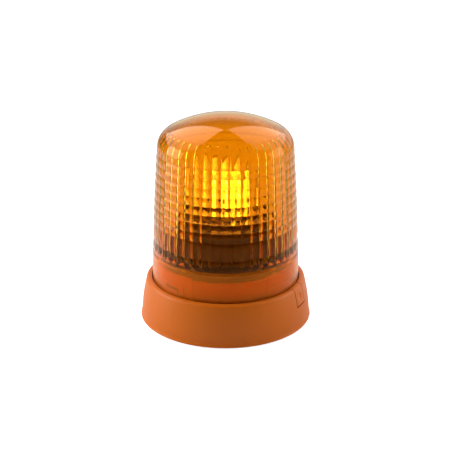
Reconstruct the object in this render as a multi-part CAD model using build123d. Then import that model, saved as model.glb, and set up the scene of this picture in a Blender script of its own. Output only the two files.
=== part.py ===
from build123d import *
import os
from math import acos, atan2, cos, degrees, hypot, pi, radians, sin, sqrt, tan

# Rotating warning beacon with a bayonet lens, a fixed halogen lamp and a motor-driven parabolic reflector.
# Millimetres, +Z up. The origin is the centre of the rubber mat's underside,
# and +X points at the lens lock tab.

# Rubber mat and base floor
MAT_THICKNESS = 3.0
MAT_INSET = 4.35
MAT_CABLE_HOLE_RADIUS = 12.5
FLOOR_THICKNESS = 3.0
BASE_WALL = 3.0

# Outer shape of the base: toe, slightly barrelled skirt and rounded lip
TOE_FLARE = 1.05
TOE_GAP = 0.5
TOE_HEIGHT = 4.0
SKIRT_FOOT_FLARE = 1.6
SKIRT_WAIST_FLARE = 3.4
SKIRT_WAIST_DROP = 16.6
LIP_WIDTH = 5.2
LIP_ROUND = 2.9
DRAIN_NOTCH_ANGLE = 15.0
DRAIN_NOTCH_WIDTH = 3.0
DRAIN_NOTCH_HEIGHT = 2.6
SKIRT_RIB_COUNT = 6
SKIRT_RIB_THICKNESS = 2.0

# Lens outer shape
LENS_FOOT_RADIUS = 70.9
LENS_LOWER_DRAFT = 2.0
LENS_UPPER_DRAFT = 4.8
LENS_MIDDLE_DROP = 73.5
LENS_SHOULDER_RISE = 133.2
LENS_SHOULDER_ROUND = 20.4
LENS_CROWN_RISE = 29.5
LENS_WALL = 2.6

# Lens optics: rings outside, flutes inside
RING_TOP_DROP = 5.2
RING_PITCH = 8.3
RING_COUNT = 8
LOWER_RING_PITCHES = (17.0, 12.1)
RING_DEPTH = 0.5
FLUTE_COUNT = 48
FLUTE_DEPTH = 1.2
FLUTE_END_DEPTH = 0.3
FLUTE_FOOT_RISE = 34.6
FLUTE_BANDS = 3
FLUTE_SHOULDER_SHARES = (0.4, 0.7, 0.9)
CORE_MARGIN = 1.0

# Lens seat in the base
LENS_SIDE_GAP = 0.8
SEAT_RISE = 27.0
GROOVE_DEPTH = 6.5
SEAT_THICKNESS = 3.0
SEAL_HEIGHT = 1.8
SEAL_WIDTH = 3.0
SEAL_GAP = 0.2
LENS_SEAL_GAP = 0.3
SPIGOT_GAP = 2.7
SPIGOT_WALL = 3.0
SPIGOT_RISE = 6.0

# Bayonet ring on the spigot: a tongue, a low wall and three segments with ledges
TONGUE_WALL = 1.4
TONGUE_LENGTH = 4.0
TONGUE_FIT = 0.02
RING_WALL_INSET = 1.4
RING_WALL_HEIGHT = 16.5
SEGMENT_COUNT = 3
SEGMENT_ARC = 55.6
SEGMENT_HEIGHT = 18.5
LEDGE_RISE = 13.2
LEDGE_THICKNESS = 2.8
LEDGE_LENS_GAP = 0.4
STOP_ARC = 3.4
LUG_ARC = 14.0
LUG_HEIGHT = 3.9
LUG_GAP = 0.35
LUG_SIDE_GAP_ARC = 1.6
LUG_ROOT = 0.8
BAYONET_TURN = 24.0

# Fixing bolts from below, into brass inserts
BOLT_CIRCLE_INSET = 0.6
BOLT_COUNT = 3
BOLT_FIRST_ANGLE = 60.0
INSERT_BORE_RADIUS = 4.0
INSERT_WALL = 1.6
INSERT_LENGTH = 18.0
INSERT_FIT = 0.02
BOSS_WALL = 2.6
BOSS_CAP = 3.0
MAT_BOLT_CLEARANCE = 1.0

# Cable entry
ENTRY_RADIUS = 8.0
GROMMET_FLANGE = 3.0
GROMMET_FLANGE_THICKNESS = 2.0
GROMMET_FIT = 0.1
GROMMET_NIPPLE_HEIGHT = 7.0
GROMMET_NIPPLE_RADIUS = 3.5
GROMMET_MEMBRANE = 1.2
GROMMET_BORE_RADIUS = 4.5

# Chassis plate on three pillars
PILLAR_HEIGHT = 38.0
CHASSIS_THICKNESS = 2.0
CHASSIS_WALL_GAP = 0.6
CHASSIS_LIGHTENING_RADIUS = 5.0
PILLAR_RADIUS = 5.0
PILLAR_INSET = 10.6
SCREW_RADIUS = 2.0
SCREW_FIT = 0.04
SCREW_HEAD_RADIUS = 3.7
SCREW_HEAD_HEIGHT = 2.4
SCREW_DEPTH = 12.0
SCREW_SLOT_WIDTH = 1.0
SCREW_SLOT_DEPTH = 1.0

# Lamp post: the fixed spindle that the reflector carrier turns on
POST_RADIUS = 8.0
POST_BORE_RADIUS = 6.6
POST_FLANGE_RADIUS = 14.0
POST_FLANGE_THICKNESS = 2.5
POST_TOP_RISE = 4.5
POST_FIT = 0.05
POST_SCREW_CIRCLE_RADIUS = 11.2
POST_SCREW_COUNT = 3
SMALL_SCREW_RADIUS = 1.2
SMALL_SCREW_HEAD_RADIUS = 2.1
SMALL_SCREW_HEAD_HEIGHT = 1.2

# Bush, washer and retaining ring
BUSH_RUNNING_GAP = 0.04
BUSH_WALL = 2.0
BUSH_LENGTH = 12.0
HUB_FIT = 0.02
HUB_WALL = 3.5
THRUST_WASHER_THICKNESS = 1.5
WASHER_FACE_GAP = 0.25
HUB_TOP_DROP = 9.5
RETAINING_RING_THICKNESS = 1.0
RETAINING_RING_RADIUS = 10.4
RETAINING_RING_MOUTH = 8.0
RETAINING_GROOVE_DEPTH = 0.5

# Gear pair, module 1, twenty degrees
MODULE = 1.0
PRESSURE_ANGLE = 20.0
GEAR_TEETH = 66
PINION_TEETH = 11
PROFILE_SHIFT = 0.35
GEAR_BACKLASH = 0.16
ROOT_CLEARANCE = 0.25
ROOT_RELIEF = 0.82
GEAR_FLOOR_GAP = 2.6
GEAR_THICKNESS = 5.4
GEAR_WEB = 3.0
GEAR_RIM = 3.0
GEAR_SEAT_GAP = 0.02
PINION_EXTRA = 0.4
PINION_HUB_HEIGHT = 0.9
MOTOR_ANGLE = 150.0
GEAR_SCREW_COUNT = 3
GEAR_SCREW_CIRCLE_RADIUS = 22.0

# Reflector carrier: a hollow drum on a hub
DRUM_RADIUS = 37.0
DRUM_DRAFT = 0.7
DRUM_HEIGHT = 43.0
DRUM_WALL = 2.2
DRUM_FLOOR_THICKNESS = 2.8
DRUM_FLOOR_INSET = 2.5
DRUM_FLARE_HEIGHT = 5.0
DRUM_TOP_ROUND = 2.0
DRUM_MOUTH_GAP = 2.5

# Parabolic reflector
FOCAL_LENGTH = 15.0
REFLECTOR_RADIUS = 33.5
REFLECTOR_WALL = 1.8
REFLECTOR_RIM_WIDTH = 2.0
REFLECTOR_RIM_THICKNESS = 1.6
REFLECTOR_FACING = -107.0
REFLECTOR_LAMP_GAP = 2.0
REFLECTOR_CUT_HEIGHT = 15.0
FOOT_LENGTH = 15.0
FOOT_BACK = -17.0
FOOT_INNER_Y = 11.0
FOOT_WIDTH = 14.0
FOOT_HEIGHT = 3.0
FOOT_SCREW_X = -11.5
FOOT_SCREW_Y = 19.5
BACK_RIB_THICKNESS = 2.2
BACK_RIB_DEPTH = 9.0

# Halogen lamp and its holder
HOLDER_RADIUS = 11.0
HOLDER_HEIGHT = 6.0
HOLDER_FIT = 0.05
LAMP_BODY_RADIUS = 4.9
LAMP_BODY_LENGTH = 18.0
LAMP_BODY_FIT = 0.15
LAMP_FLANGE_RADIUS = 7.4
LAMP_FLANGE_THICKNESS = 1.2
LAMP_NECK_RADIUS = 5.9
LAMP_NECK_HEIGHT = 3.6
LAMP_GLASS_RADIUS = 5.6
LAMP_GLASS_LENGTH = 33.0
LAMP_GLASS_WALL = 0.9
FILAMENT_RISE = 21.2
FILAMENT_RADIUS = 0.9
FILAMENT_LENGTH = 5.2
FILAMENT_POST_RADIUS = 0.4
FILAMENT_POST_OFFSET = 2.4
BLADE_WIDTH = 6.3
BLADE_THICKNESS = 0.8
BLADE_LENGTH = 7.0
CONNECTOR_RADIUS = 6.2
CONNECTOR_HEIGHT = 15.0
CONNECTOR_SLOT_FIT = 0.1
CLIP_THICKNESS = 0.8
CLIP_NECK_GAP = 0.3
CLIP_SCREW_CIRCLE_RADIUS = 8.7

# Motor under the chassis plate
MOTOR_RADIUS = 12.4
MOTOR_LENGTH = 27.0
MOTOR_EDGE = 1.0
MOTOR_SCREW_DEPTH = 4.0
MOTOR_BOSS_RADIUS = 3.5
MOTOR_BOSS_HEIGHT = 2.3
MOTOR_BOSS_FIT = 0.1
MOTOR_CAP_THICKNESS = 2.5
MOTOR_CAP_INSET = 0.8
MOTOR_TERMINAL_LENGTH = 4.0
MOTOR_TERMINAL_WIDTH = 2.4
MOTOR_TERMINAL_THICKNESS = 0.5
MOTOR_TERMINAL_OFFSET = 7.0
MOTOR_SCREW_OFFSET = 8.2
SHAFT_RADIUS = 1.0
SHAFT_RUNNING_GAP = 0.05
SHAFT_DEPTH = 22.0
SHAFT_FIT = 0.01

# Control board, suppression parts and terminal block
BOARD_ANGLE = -30.0
BOARD_CENTRE_INSET = 31.6
BOARD_LENGTH = 44.0
BOARD_WIDTH = 24.0
BOARD_THICKNESS = 1.6
BOARD_POST_HEIGHT = 8.0
BOARD_POST_RADIUS = 3.0
BOARD_SCREW_SPACING = 36.0
CAPACITOR_RADIUS = 4.0
CAPACITOR_HEIGHT = 12.0
CAPACITOR_OFFSET = 8.0
CHOKE_RADIUS = 4.5
CHOKE_CORE_RADIUS = 2.6
CHOKE_HEIGHT = 13.0
CHOKE_OFFSET = -8.0
CHOKE_FLANGE = 1.2
TERMINAL_ANGLE = 85.0
TERMINAL_CENTRE_RADIUS = 33.0
TERMINAL_LENGTH = 25.0
TERMINAL_WIDTH = 11.0
TERMINAL_HEIGHT = 12.0
TERMINAL_POLES = 3
TERMINAL_FLANGE = 6.0
TERMINAL_FLANGE_HEIGHT = 3.0
TERMINAL_WIRE_HOLE_RADIUS = 1.6
TERMINAL_SCREW_RADIUS = 2.0
TERMINAL_SCREW_HEIGHT = 3.0

# Lens lock tab in the skirt
TAB_HALF_WIDTH = 8.2
TAB_SIDE_GAP = 0.7
TAB_HEIGHT = 16.8
TAB_FOOT_GAP = 1.2
TAB_THICKNESS = 2.6
TAB_NOSE_DEPTH = 6.0
TAB_LENS_GAP = 0.35
TAB_PIN_RADIUS = 1.0
TAB_PIN_GAP = 0.06
TAB_PIN_RISE = 1.9
TAB_PIN_INSET = 4.325
TAB_KNUCKLE_RADIUS = 2.3
TAB_EAR_THICKNESS = 2.8
TAB_EAR_HALF_WIDTH = 3.45
TAB_DIMPLE_DROP = 8.0
TAB_DIMPLE_RADIUS = 4.0
TAB_DIMPLE_DEPTH = 0.9

# Worked-out places
FLOOR_Z = MAT_THICKNESS
FLOOR_TOP_Z = FLOOR_Z + FLOOR_THICKNESS
SEAT_Z = FLOOR_TOP_Z + SEAT_RISE
LIP_Z = SEAT_Z + GROOVE_DEPTH
LIP_ROUND_Z = LIP_Z - LIP_ROUND
SKIRT_WAIST_Z = LIP_ROUND_Z - SKIRT_WAIST_DROP
SPIGOT_LOW_Z = SEAT_Z + SPIGOT_RISE
LEDGE_Z = SEAT_Z + LEDGE_RISE
GROOVE_RADIUS = LENS_FOOT_RADIUS + LENS_SIDE_GAP
LIP_RADIUS = GROOVE_RADIUS + LIP_WIDTH
SKIRT_WAIST_RADIUS = LIP_RADIUS + SKIRT_WAIST_FLARE
SKIRT_FOOT_RADIUS = SKIRT_WAIST_RADIUS + SKIRT_FOOT_FLARE
TOE_RADIUS = SKIRT_FOOT_RADIUS + TOE_FLARE
MAT_RADIUS = TOE_RADIUS - MAT_INSET
LENS_INNER_FOOT_RADIUS = LENS_FOOT_RADIUS - LENS_WALL
SPIGOT_RADIUS = LENS_INNER_FOOT_RADIUS - SPIGOT_GAP
CUP_RADIUS = SPIGOT_RADIUS - SPIGOT_WALL
RING_INNER_RADIUS = CUP_RADIUS - TONGUE_WALL
RING_WALL_RADIUS = SPIGOT_RADIUS - RING_WALL_INSET
BOLT_CIRCLE_RADIUS = SPIGOT_RADIUS - BOLT_CIRCLE_INSET
SEAL_Z = SEAT_Z + SEAL_GAP
LENS_FOOT_Z = SEAL_Z + SEAL_HEIGHT + LENS_SEAL_GAP
LENS_SHOULDER_Z = LENS_FOOT_Z + LENS_SHOULDER_RISE
LENS_TOP_Z = LENS_SHOULDER_Z + LENS_CROWN_RISE
LENS_MIDDLE_Z = LENS_SHOULDER_Z - LENS_MIDDLE_DROP
LENS_MIDDLE_RADIUS = LENS_FOOT_RADIUS - LENS_LOWER_DRAFT
LENS_SHOULDER_RADIUS = LENS_MIDDLE_RADIUS - LENS_UPPER_DRAFT
RING_TOP_Z = LENS_SHOULDER_Z - RING_TOP_DROP
FLUTE_BOTTOM_Z = LENS_FOOT_Z + FLUTE_FOOT_RISE
CHASSIS_Z = FLOOR_TOP_Z + PILLAR_HEIGHT
CHASSIS_TOP_Z = CHASSIS_Z + CHASSIS_THICKNESS
CHASSIS_RADIUS = RING_INNER_RADIUS - CHASSIS_WALL_GAP
BOARD_CENTRE_RADIUS = CHASSIS_RADIUS - BOARD_CENTRE_INSET
PILLAR_CIRCLE_RADIUS = CUP_RADIUS - PILLAR_INSET
PILLAR_ANGLES = [0.0, 120.0, 240.0]
BOLT_ANGLES = [BOLT_FIRST_ANGLE + k * 360.0 / BOLT_COUNT for k in range(BOLT_COUNT)]
SEGMENT_ANGLES = [k * 360.0 / SEGMENT_COUNT for k in range(SEGMENT_COUNT)]
LUG_CENTRE_ARC = LUG_SIDE_GAP_ARC + LUG_ARC / 2
GEAR_PITCH_RADIUS = MODULE * GEAR_TEETH / 2
PINION_PITCH_RADIUS = MODULE * PINION_TEETH / 2
CENTRE_DISTANCE = GEAR_PITCH_RADIUS + PINION_PITCH_RADIUS
GEAR_Z = CHASSIS_TOP_Z + GEAR_FLOOR_GAP
GEAR_TOP_Z = GEAR_Z + GEAR_THICKNESS
HUB_BOTTOM_Z = CHASSIS_TOP_Z + THRUST_WASHER_THICKNESS + WASHER_FACE_GAP
BUSH_RADIUS = POST_RADIUS + BUSH_RUNNING_GAP + BUSH_WALL
HUB_RADIUS = BUSH_RADIUS + HUB_FIT + HUB_WALL
DRUM_FLOOR_Z = GEAR_TOP_Z
DRUM_TOP_Z = DRUM_FLOOR_Z + DRUM_HEIGHT
DRUM_TOP_RADIUS = DRUM_RADIUS - DRUM_DRAFT
DRUM_MOUTH_RADIUS = HOLDER_RADIUS + DRUM_MOUTH_GAP
HUB_TOP_Z = DRUM_TOP_Z - HUB_TOP_DROP
POST_TOP_Z = HUB_TOP_Z + POST_TOP_RISE
HOLDER_TOP_Z = POST_TOP_Z + HOLDER_HEIGHT
LAMP_FLANGE_TOP_Z = HOLDER_TOP_Z + LAMP_FLANGE_THICKNESS
LAMP_NECK_TOP_Z = LAMP_FLANGE_TOP_Z + LAMP_NECK_HEIGHT
LAMP_BODY_BOTTOM_Z = HOLDER_TOP_Z - LAMP_BODY_LENGTH
REFLECTOR_CENTRE_Z = LAMP_NECK_TOP_Z + FILAMENT_RISE
REFLECTOR_DEPTH = REFLECTOR_RADIUS ** 2 / (4 * FOCAL_LENGTH)
MOTOR_BOTTOM_Z = CHASSIS_Z - MOTOR_LENGTH
SHAFT_TAIL_Z = CHASSIS_Z - SHAFT_DEPTH
TAB_FOOT_Z = LIP_Z - TAB_HEIGHT
TAB_PIN_Z = TAB_FOOT_Z + TAB_PIN_RISE
TAB_DIMPLE_Z = LIP_Z - TAB_DIMPLE_DROP


def polar(radius, angle):
    """The point at a plan radius and angle."""
    return radius * cos(radians(angle)), radius * sin(radians(angle))


def disc(radius, bottom, top, centre=(0, 0)):
    """An upright cylinder between two heights."""
    upright = (Align.CENTER, Align.CENTER, Align.MIN)
    return Pos(centre[0], centre[1], bottom) * Cylinder(radius, top - bottom, align=upright)


def tube(inner, outer, bottom, top, centre=(0, 0)):
    """An upright ring between two heights."""
    return disc(outer, bottom, top, centre) - disc(inner, bottom, top, centre)


def slab(length, width, bottom, top, centre=(0, 0), angle=0.0):
    """An upright block, turned in plan about its own centre."""
    block = Box(length, width, top - bottom, align=(Align.CENTER, Align.CENTER, Align.MIN))
    return Pos(centre[0], centre[1], bottom) * Rot(0, 0, angle) * block


def profile_point(radius, height):
    """A point of a turned profile."""
    return Vector(radius, 0, height)


def turned(*edges):
    """The solid that closed profile edges sweep about the vertical axis."""
    return revolve(make_face(Wire(edges)), Axis.Z, 360)


def turned_outline(points):
    """The solid of a straight-sided closed profile, given as radius and height pairs."""
    corners = [profile_point(*point) for point in points]
    return turned(*Polyline(*corners, close=True).edges())


def arc_block(inner, outer, bottom, top, start, sweep):
    """A ring sector between two radii, two heights and two plan angles."""
    corners = [(inner, bottom), (outer, bottom), (outer, top), (inner, top)]
    face = make_face(Polyline(*[profile_point(*corner) for corner in corners], close=True))
    return Rot(0, 0, start) * revolve(face, Axis.Z, sweep)


def screw(radius, head_radius, head_height, seat_z, depth, centre):
    """A slotted pan-head screw, standing with its head on seat_z."""
    top_z = seat_z + head_height
    body = disc(radius, seat_z - depth, seat_z, centre) + disc(head_radius, seat_z, top_z, centre)
    slot_depth = min(SCREW_SLOT_DEPTH, head_height / 2)
    return body - slab(4 * head_radius, SCREW_SLOT_WIDTH, top_z - slot_depth, top_z + slot_depth, centre)


def small_screw(seat_z, depth, centre):
    """A screw of the small size that holds the lamp, reflector, board and terminals."""
    return screw(
        SMALL_SCREW_RADIUS, SMALL_SCREW_HEAD_RADIUS, SMALL_SCREW_HEAD_HEIGHT, seat_z, depth, centre
    )


def circle_through(first, second, third):
    """Centre and radius of the circle through three profile points."""
    ax, ay = first
    bx, by = second
    cx, cy = third
    scale = 2 * (ax * (by - cy) + bx * (cy - ay) + cx * (ay - by))
    a2, b2, c2 = ax * ax + ay * ay, bx * bx + by * by, cx * cx + cy * cy
    centre_x = (a2 * (by - cy) + b2 * (cy - ay) + c2 * (ay - by)) / scale
    centre_y = (a2 * (cx - bx) + b2 * (ax - cx) + c2 * (bx - ax)) / scale
    return (centre_x, centre_y), hypot(ax - centre_x, ay - centre_y)


# Base

def skirt_edges(inset):
    """The outer skirt line, from the toe up to the lip round, moved inward by inset."""
    foot_z = TOE_GAP + TOE_HEIGHT
    toe_start = profile_point(TOE_RADIUS - inset, TOE_GAP)
    toe_end = profile_point(SKIRT_FOOT_RADIUS - inset, foot_z)
    toe_radius = (TOE_RADIUS + 2 * SKIRT_FOOT_RADIUS) / 3
    toe_middle = profile_point(toe_radius - inset, TOE_GAP + TOE_HEIGHT / 2)
    waist = profile_point(SKIRT_WAIST_RADIUS - inset, SKIRT_WAIST_Z)
    lip = profile_point(LIP_RADIUS - inset, LIP_ROUND_Z)
    return ThreePointArc(toe_start, toe_middle, toe_end), ThreePointArc(toe_end, waist, lip)


def skirt_radius(height, inset=0.0):
    """Radius of the skirt's barrelled wall at a height."""
    foot = (SKIRT_FOOT_RADIUS, TOE_GAP + TOE_HEIGHT)
    waist = (SKIRT_WAIST_RADIUS, SKIRT_WAIST_Z)
    centre, radius = circle_through(foot, waist, (LIP_RADIUS, LIP_ROUND_Z))
    return centre[0] + sqrt(radius ** 2 - (height - centre[1]) ** 2) - inset


def lip_round_edge():
    """The rounded outer edge of the lip."""
    start = profile_point(LIP_RADIUS, LIP_ROUND_Z)
    centre_radius = LIP_RADIUS - LIP_ROUND
    diagonal = LIP_ROUND * cos(pi / 4)
    middle = profile_point(centre_radius + diagonal, LIP_ROUND_Z + diagonal)
    return ThreePointArc(start, middle, profile_point(centre_radius, LIP_Z))


def base_outer_body():
    """The base's outer form as one solid of revolution, without its hollows."""
    toe, wall = skirt_edges(0)
    round_edge = lip_round_edge()
    closing = Polyline(
        round_edge @ 1,
        profile_point(0, LIP_Z),
        profile_point(0, TOE_GAP),
        toe @ 0,
    )
    return turned(toe, wall, round_edge, *closing.edges())


def base_shell():
    """Skirt, lip, lens seat, cup wall and floor as one turned moulding."""
    toe, wall = skirt_edges(0)
    round_edge = lip_round_edge()
    under_seat_z = SEAT_Z - SEAT_THICKNESS
    inner_top = profile_point(skirt_radius(under_seat_z, BASE_WALL), under_seat_z)
    inner_waist = profile_point(skirt_radius(SKIRT_WAIST_Z, BASE_WALL), SKIRT_WAIST_Z)
    inner_foot = profile_point(SKIRT_FOOT_RADIUS - BASE_WALL, TOE_GAP + TOE_HEIGHT)
    upper = Polyline(
        round_edge @ 1,
        profile_point(GROOVE_RADIUS, LIP_Z),
        profile_point(GROOVE_RADIUS, SEAT_Z),
        profile_point(SPIGOT_RADIUS, SEAT_Z),
        profile_point(SPIGOT_RADIUS, SPIGOT_LOW_Z),
        profile_point(CUP_RADIUS, SPIGOT_LOW_Z),
        profile_point(CUP_RADIUS, FLOOR_TOP_Z),
        profile_point(0, FLOOR_TOP_Z),
        profile_point(0, FLOOR_Z),
        profile_point(SPIGOT_RADIUS, FLOOR_Z),
        profile_point(SPIGOT_RADIUS, under_seat_z),
        inner_top,
    )
    inner_wall = ThreePointArc(inner_top, inner_waist, inner_foot)
    foot = Polyline(inner_foot, profile_point(TOE_RADIUS - BASE_WALL, TOE_GAP), toe @ 0)
    return turned(toe, wall, round_edge, *upper.edges(), inner_wall, *foot.edges())


def inside_skirt(inset):
    """The solid of revolution inside the skirt's outer line, moved inward by inset."""
    toe, wall = skirt_edges(inset)
    closing = Polyline(wall @ 1, profile_point(0, LIP_ROUND_Z), profile_point(0, TOE_GAP), toe @ 0)
    return turned(toe, wall, *closing.edges())


def skirt_ribs():
    """Radial stiffening ribs between the cup wall and the skirt, seen from below."""
    under_seat_z = SEAT_Z - SEAT_THICKNESS
    middle = (SPIGOT_RADIUS + LIP_RADIUS) / 2
    blanks = Part()
    step = 360.0 / SKIRT_RIB_COUNT
    for k in range(SKIRT_RIB_COUNT):
        angle = step * (k + 0.5)
        length = 2 * (TOE_RADIUS - SPIGOT_RADIUS)
        top_z = under_seat_z + SEAT_THICKNESS / 2
        blanks += slab(length, SKIRT_RIB_THICKNESS, FLOOR_Z, top_z, polar(middle, angle), angle)
    return blanks & inside_skirt(BASE_WALL / 2) - disc(SPIGOT_RADIUS - SPIGOT_WALL / 2, 0, LIP_Z)


def bolt_bosses():
    """Boss columns that hold the brass inserts."""
    radius = INSERT_BORE_RADIUS + INSERT_WALL + BOSS_WALL
    top_z = FLOOR_Z + INSERT_LENGTH + BOSS_CAP
    bosses = Part()
    for angle in BOLT_ANGLES:
        bosses += disc(radius, FLOOR_Z, top_z, polar(BOLT_CIRCLE_RADIUS, angle))
    return bosses


def tab_pin_radius_from_axis():
    """Plan distance of the lock tab's hinge pin."""
    return skirt_radius(TAB_PIN_Z) - TAB_PIN_INSET


def tab_ears():
    """The two ears inside the skirt that hold the tab's hinge pin."""
    centre_x = tab_pin_radius_from_axis()
    half = TAB_EAR_HALF_WIDTH
    ears = Part()
    for side in (-1, 1):
        middle_y = side * (TAB_HALF_WIDTH + TAB_SIDE_GAP + TAB_EAR_THICKNESS / 2)
        block = slab(2 * half, TAB_EAR_THICKNESS, TAB_PIN_Z - half, SEAT_Z - SEAT_THICKNESS / 2)
        ears += Pos(centre_x, middle_y, 0) * block
    return ears & inside_skirt(BASE_WALL / 2)


def tab_slot():
    """The opening in the skirt and lip that the lock tab fills, outside the lens groove."""
    width = 2 * (TAB_HALF_WIDTH + TAB_SIDE_GAP)
    bottom = TAB_FOOT_Z - TAB_FOOT_GAP
    blank = Box(TOE_RADIUS, width, LIP_Z, align=(Align.MIN, Align.CENTER, Align.MIN))
    return Pos(0, 0, bottom) * blank - disc(GROOVE_RADIUS - LENS_SIDE_GAP / 2, 0, 2 * LIP_Z)


def tab_bore(radius):
    """A cylinder along the tab's hinge axis."""
    length = 2 * (TAB_HALF_WIDTH + TAB_SIDE_GAP + TAB_EAR_THICKNESS)
    return Pos(tab_pin_radius_from_axis(), 0, TAB_PIN_Z) * Rot(90, 0, 0) * Cylinder(radius, length)


def base_housing():
    """The moulded base: shell, bosses, pillars, posts, ribs and the tab's slot."""
    body = base_shell()
    body += skirt_ribs()
    body += bolt_bosses()
    for angle in PILLAR_ANGLES:
        body += disc(PILLAR_RADIUS, FLOOR_Z, CHASSIS_Z, polar(PILLAR_CIRCLE_RADIUS, angle))
    for centre in board_screw_places():
        body += disc(BOARD_POST_RADIUS, FLOOR_Z, FLOOR_TOP_Z + BOARD_POST_HEIGHT, centre)
    body += tab_ears()
    body -= tab_slot()
    body -= tab_bore(TAB_PIN_RADIUS + TAB_PIN_GAP / 2)
    for angle in BOLT_ANGLES:
        hole_radius = INSERT_BORE_RADIUS + INSERT_WALL + INSERT_FIT
        body -= disc(hole_radius, 0, FLOOR_Z + INSERT_LENGTH + INSERT_FIT, polar(BOLT_CIRCLE_RADIUS, angle))
    screw_hole_radius = SCREW_RADIUS + SCREW_FIT
    for angle in PILLAR_ANGLES:
        centre = polar(PILLAR_CIRCLE_RADIUS, angle)
        body -= disc(screw_hole_radius, CHASSIS_TOP_Z - SCREW_DEPTH - SCREW_FIT, CHASSIS_Z, centre)
    post_top = FLOOR_TOP_Z + BOARD_POST_HEIGHT
    for centre in board_screw_places():
        body -= disc(SMALL_SCREW_RADIUS + SCREW_FIT, FLOOR_TOP_Z, post_top, centre)
    for centre in terminal_screw_places():
        body -= disc(SMALL_SCREW_RADIUS + SCREW_FIT, FLOOR_Z, FLOOR_TOP_Z, centre)
    body -= disc(ENTRY_RADIUS, 0, FLOOR_TOP_Z)
    notch_centre = polar(TOE_RADIUS - BASE_WALL / 2, DRAIN_NOTCH_ANGLE)
    notch_top = TOE_GAP + DRAIN_NOTCH_HEIGHT
    body -= slab(3 * BASE_WALL, DRAIN_NOTCH_WIDTH, 0, notch_top, notch_centre, DRAIN_NOTCH_ANGLE)
    return body


def ring_segment(angle):
    """One raised segment of the bayonet ring, with its ledge and both end stops."""
    start = angle - SEGMENT_ARC / 2
    ledge_top_z = LEDGE_Z + LEDGE_THICKNESS
    ledge_radius = lens_radius(ledge_top_z, LENS_WALL) - LEDGE_LENS_GAP
    root = (RING_INNER_RADIUS + RING_WALL_RADIUS) / 2
    top_z = SPIGOT_LOW_Z + SEGMENT_HEIGHT
    wall = arc_block(root, SPIGOT_RADIUS, SPIGOT_LOW_Z, top_z, start, SEGMENT_ARC)
    ledge = arc_block(RING_WALL_RADIUS, ledge_radius, LEDGE_Z, ledge_top_z, start, SEGMENT_ARC / 2)
    lug_low = angle + LUG_CENTRE_ARC - LUG_ARC / 2 - BAYONET_TURN
    lug_high = angle + LUG_CENTRE_ARC + LUG_ARC / 2
    locked_stop_start = lug_low - LUG_SIDE_GAP_ARC - STOP_ARC
    bottom = LEDGE_Z - LUG_HEIGHT - LUG_GAP
    locked_stop = arc_block(RING_WALL_RADIUS, ledge_radius, bottom, LEDGE_Z, locked_stop_start, STOP_ARC)
    open_stop_start = lug_high + LUG_SIDE_GAP_ARC
    open_stop = arc_block(RING_WALL_RADIUS, ledge_radius, bottom, ledge_top_z, open_stop_start, STOP_ARC)
    return wall + ledge + locked_stop + open_stop


def bayonet_ring():
    """The ring on the spigot's rim: a tongue inside the cup, a low wall and three segments."""
    wall_top_z = SPIGOT_LOW_Z + RING_WALL_HEIGHT
    outline = [
        (RING_INNER_RADIUS, SPIGOT_LOW_Z - TONGUE_LENGTH),
        (CUP_RADIUS - TONGUE_FIT, SPIGOT_LOW_Z - TONGUE_LENGTH),
        (CUP_RADIUS - TONGUE_FIT, SPIGOT_LOW_Z),
        (RING_WALL_RADIUS, SPIGOT_LOW_Z),
        (RING_WALL_RADIUS, wall_top_z),
        (RING_INNER_RADIUS, wall_top_z),
    ]
    ring = turned_outline(outline)
    for angle in SEGMENT_ANGLES:
        ring += ring_segment(angle)
    return ring


def base_mat():
    """The rubber mat under the base, with its bolt and cable holes."""
    mat = tube(MAT_CABLE_HOLE_RADIUS, MAT_RADIUS, 0, MAT_THICKNESS)
    hole_radius = INSERT_BORE_RADIUS + MAT_BOLT_CLEARANCE
    for angle in BOLT_ANGLES:
        mat -= disc(hole_radius, 0, MAT_THICKNESS, polar(BOLT_CIRCLE_RADIUS, angle))
    return mat


def mounting_inserts():
    """Three threaded brass inserts, drawn at the thread's outer diameter."""
    inserts = Part()
    outer = INSERT_BORE_RADIUS + INSERT_WALL
    for angle in BOLT_ANGLES:
        centre = polar(BOLT_CIRCLE_RADIUS, angle)
        inserts += tube(INSERT_BORE_RADIUS, outer, FLOOR_Z, FLOOR_Z + INSERT_LENGTH, centre)
    return inserts


def cable_grommet():
    """Rubber grommet in the floor with a closed membrane at the tip of its nipple."""
    neck = ENTRY_RADIUS - GROMMET_FIT
    flange = ENTRY_RADIUS + GROMMET_FLANGE
    upper_top = FLOOR_TOP_Z + GROMMET_FLANGE_THICKNESS
    tip_z = upper_top + GROMMET_NIPPLE_HEIGHT
    lower_z = FLOOR_Z - GROMMET_FLANGE_THICKNESS
    outline = [
        (GROMMET_BORE_RADIUS, lower_z),
        (flange, lower_z),
        (flange, FLOOR_Z),
        (neck, FLOOR_Z),
        (neck, FLOOR_TOP_Z),
        (flange, FLOOR_TOP_Z),
        (neck, upper_top),
        (GROMMET_NIPPLE_RADIUS, tip_z),
        (0, tip_z),
        (0, tip_z - GROMMET_MEMBRANE),
        (GROMMET_NIPPLE_RADIUS - GROMMET_MEMBRANE, tip_z - GROMMET_MEMBRANE),
        (GROMMET_BORE_RADIUS, upper_top - GROMMET_FLANGE_THICKNESS),
    ]
    return turned_outline(outline)


# Lens

def shoulder_circle():
    """Centre and radius of the rounded shoulder, tangent to the side wall at its top."""
    centre, radius = lens_wall_circle()
    reach = (radius - LENS_SHOULDER_ROUND) / radius
    shoulder_r = centre[0] + (LENS_SHOULDER_RADIUS - centre[0]) * reach
    shoulder_z = centre[1] + (LENS_SHOULDER_Z - centre[1]) * reach
    return (shoulder_r, shoulder_z), LENS_SHOULDER_ROUND


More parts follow.
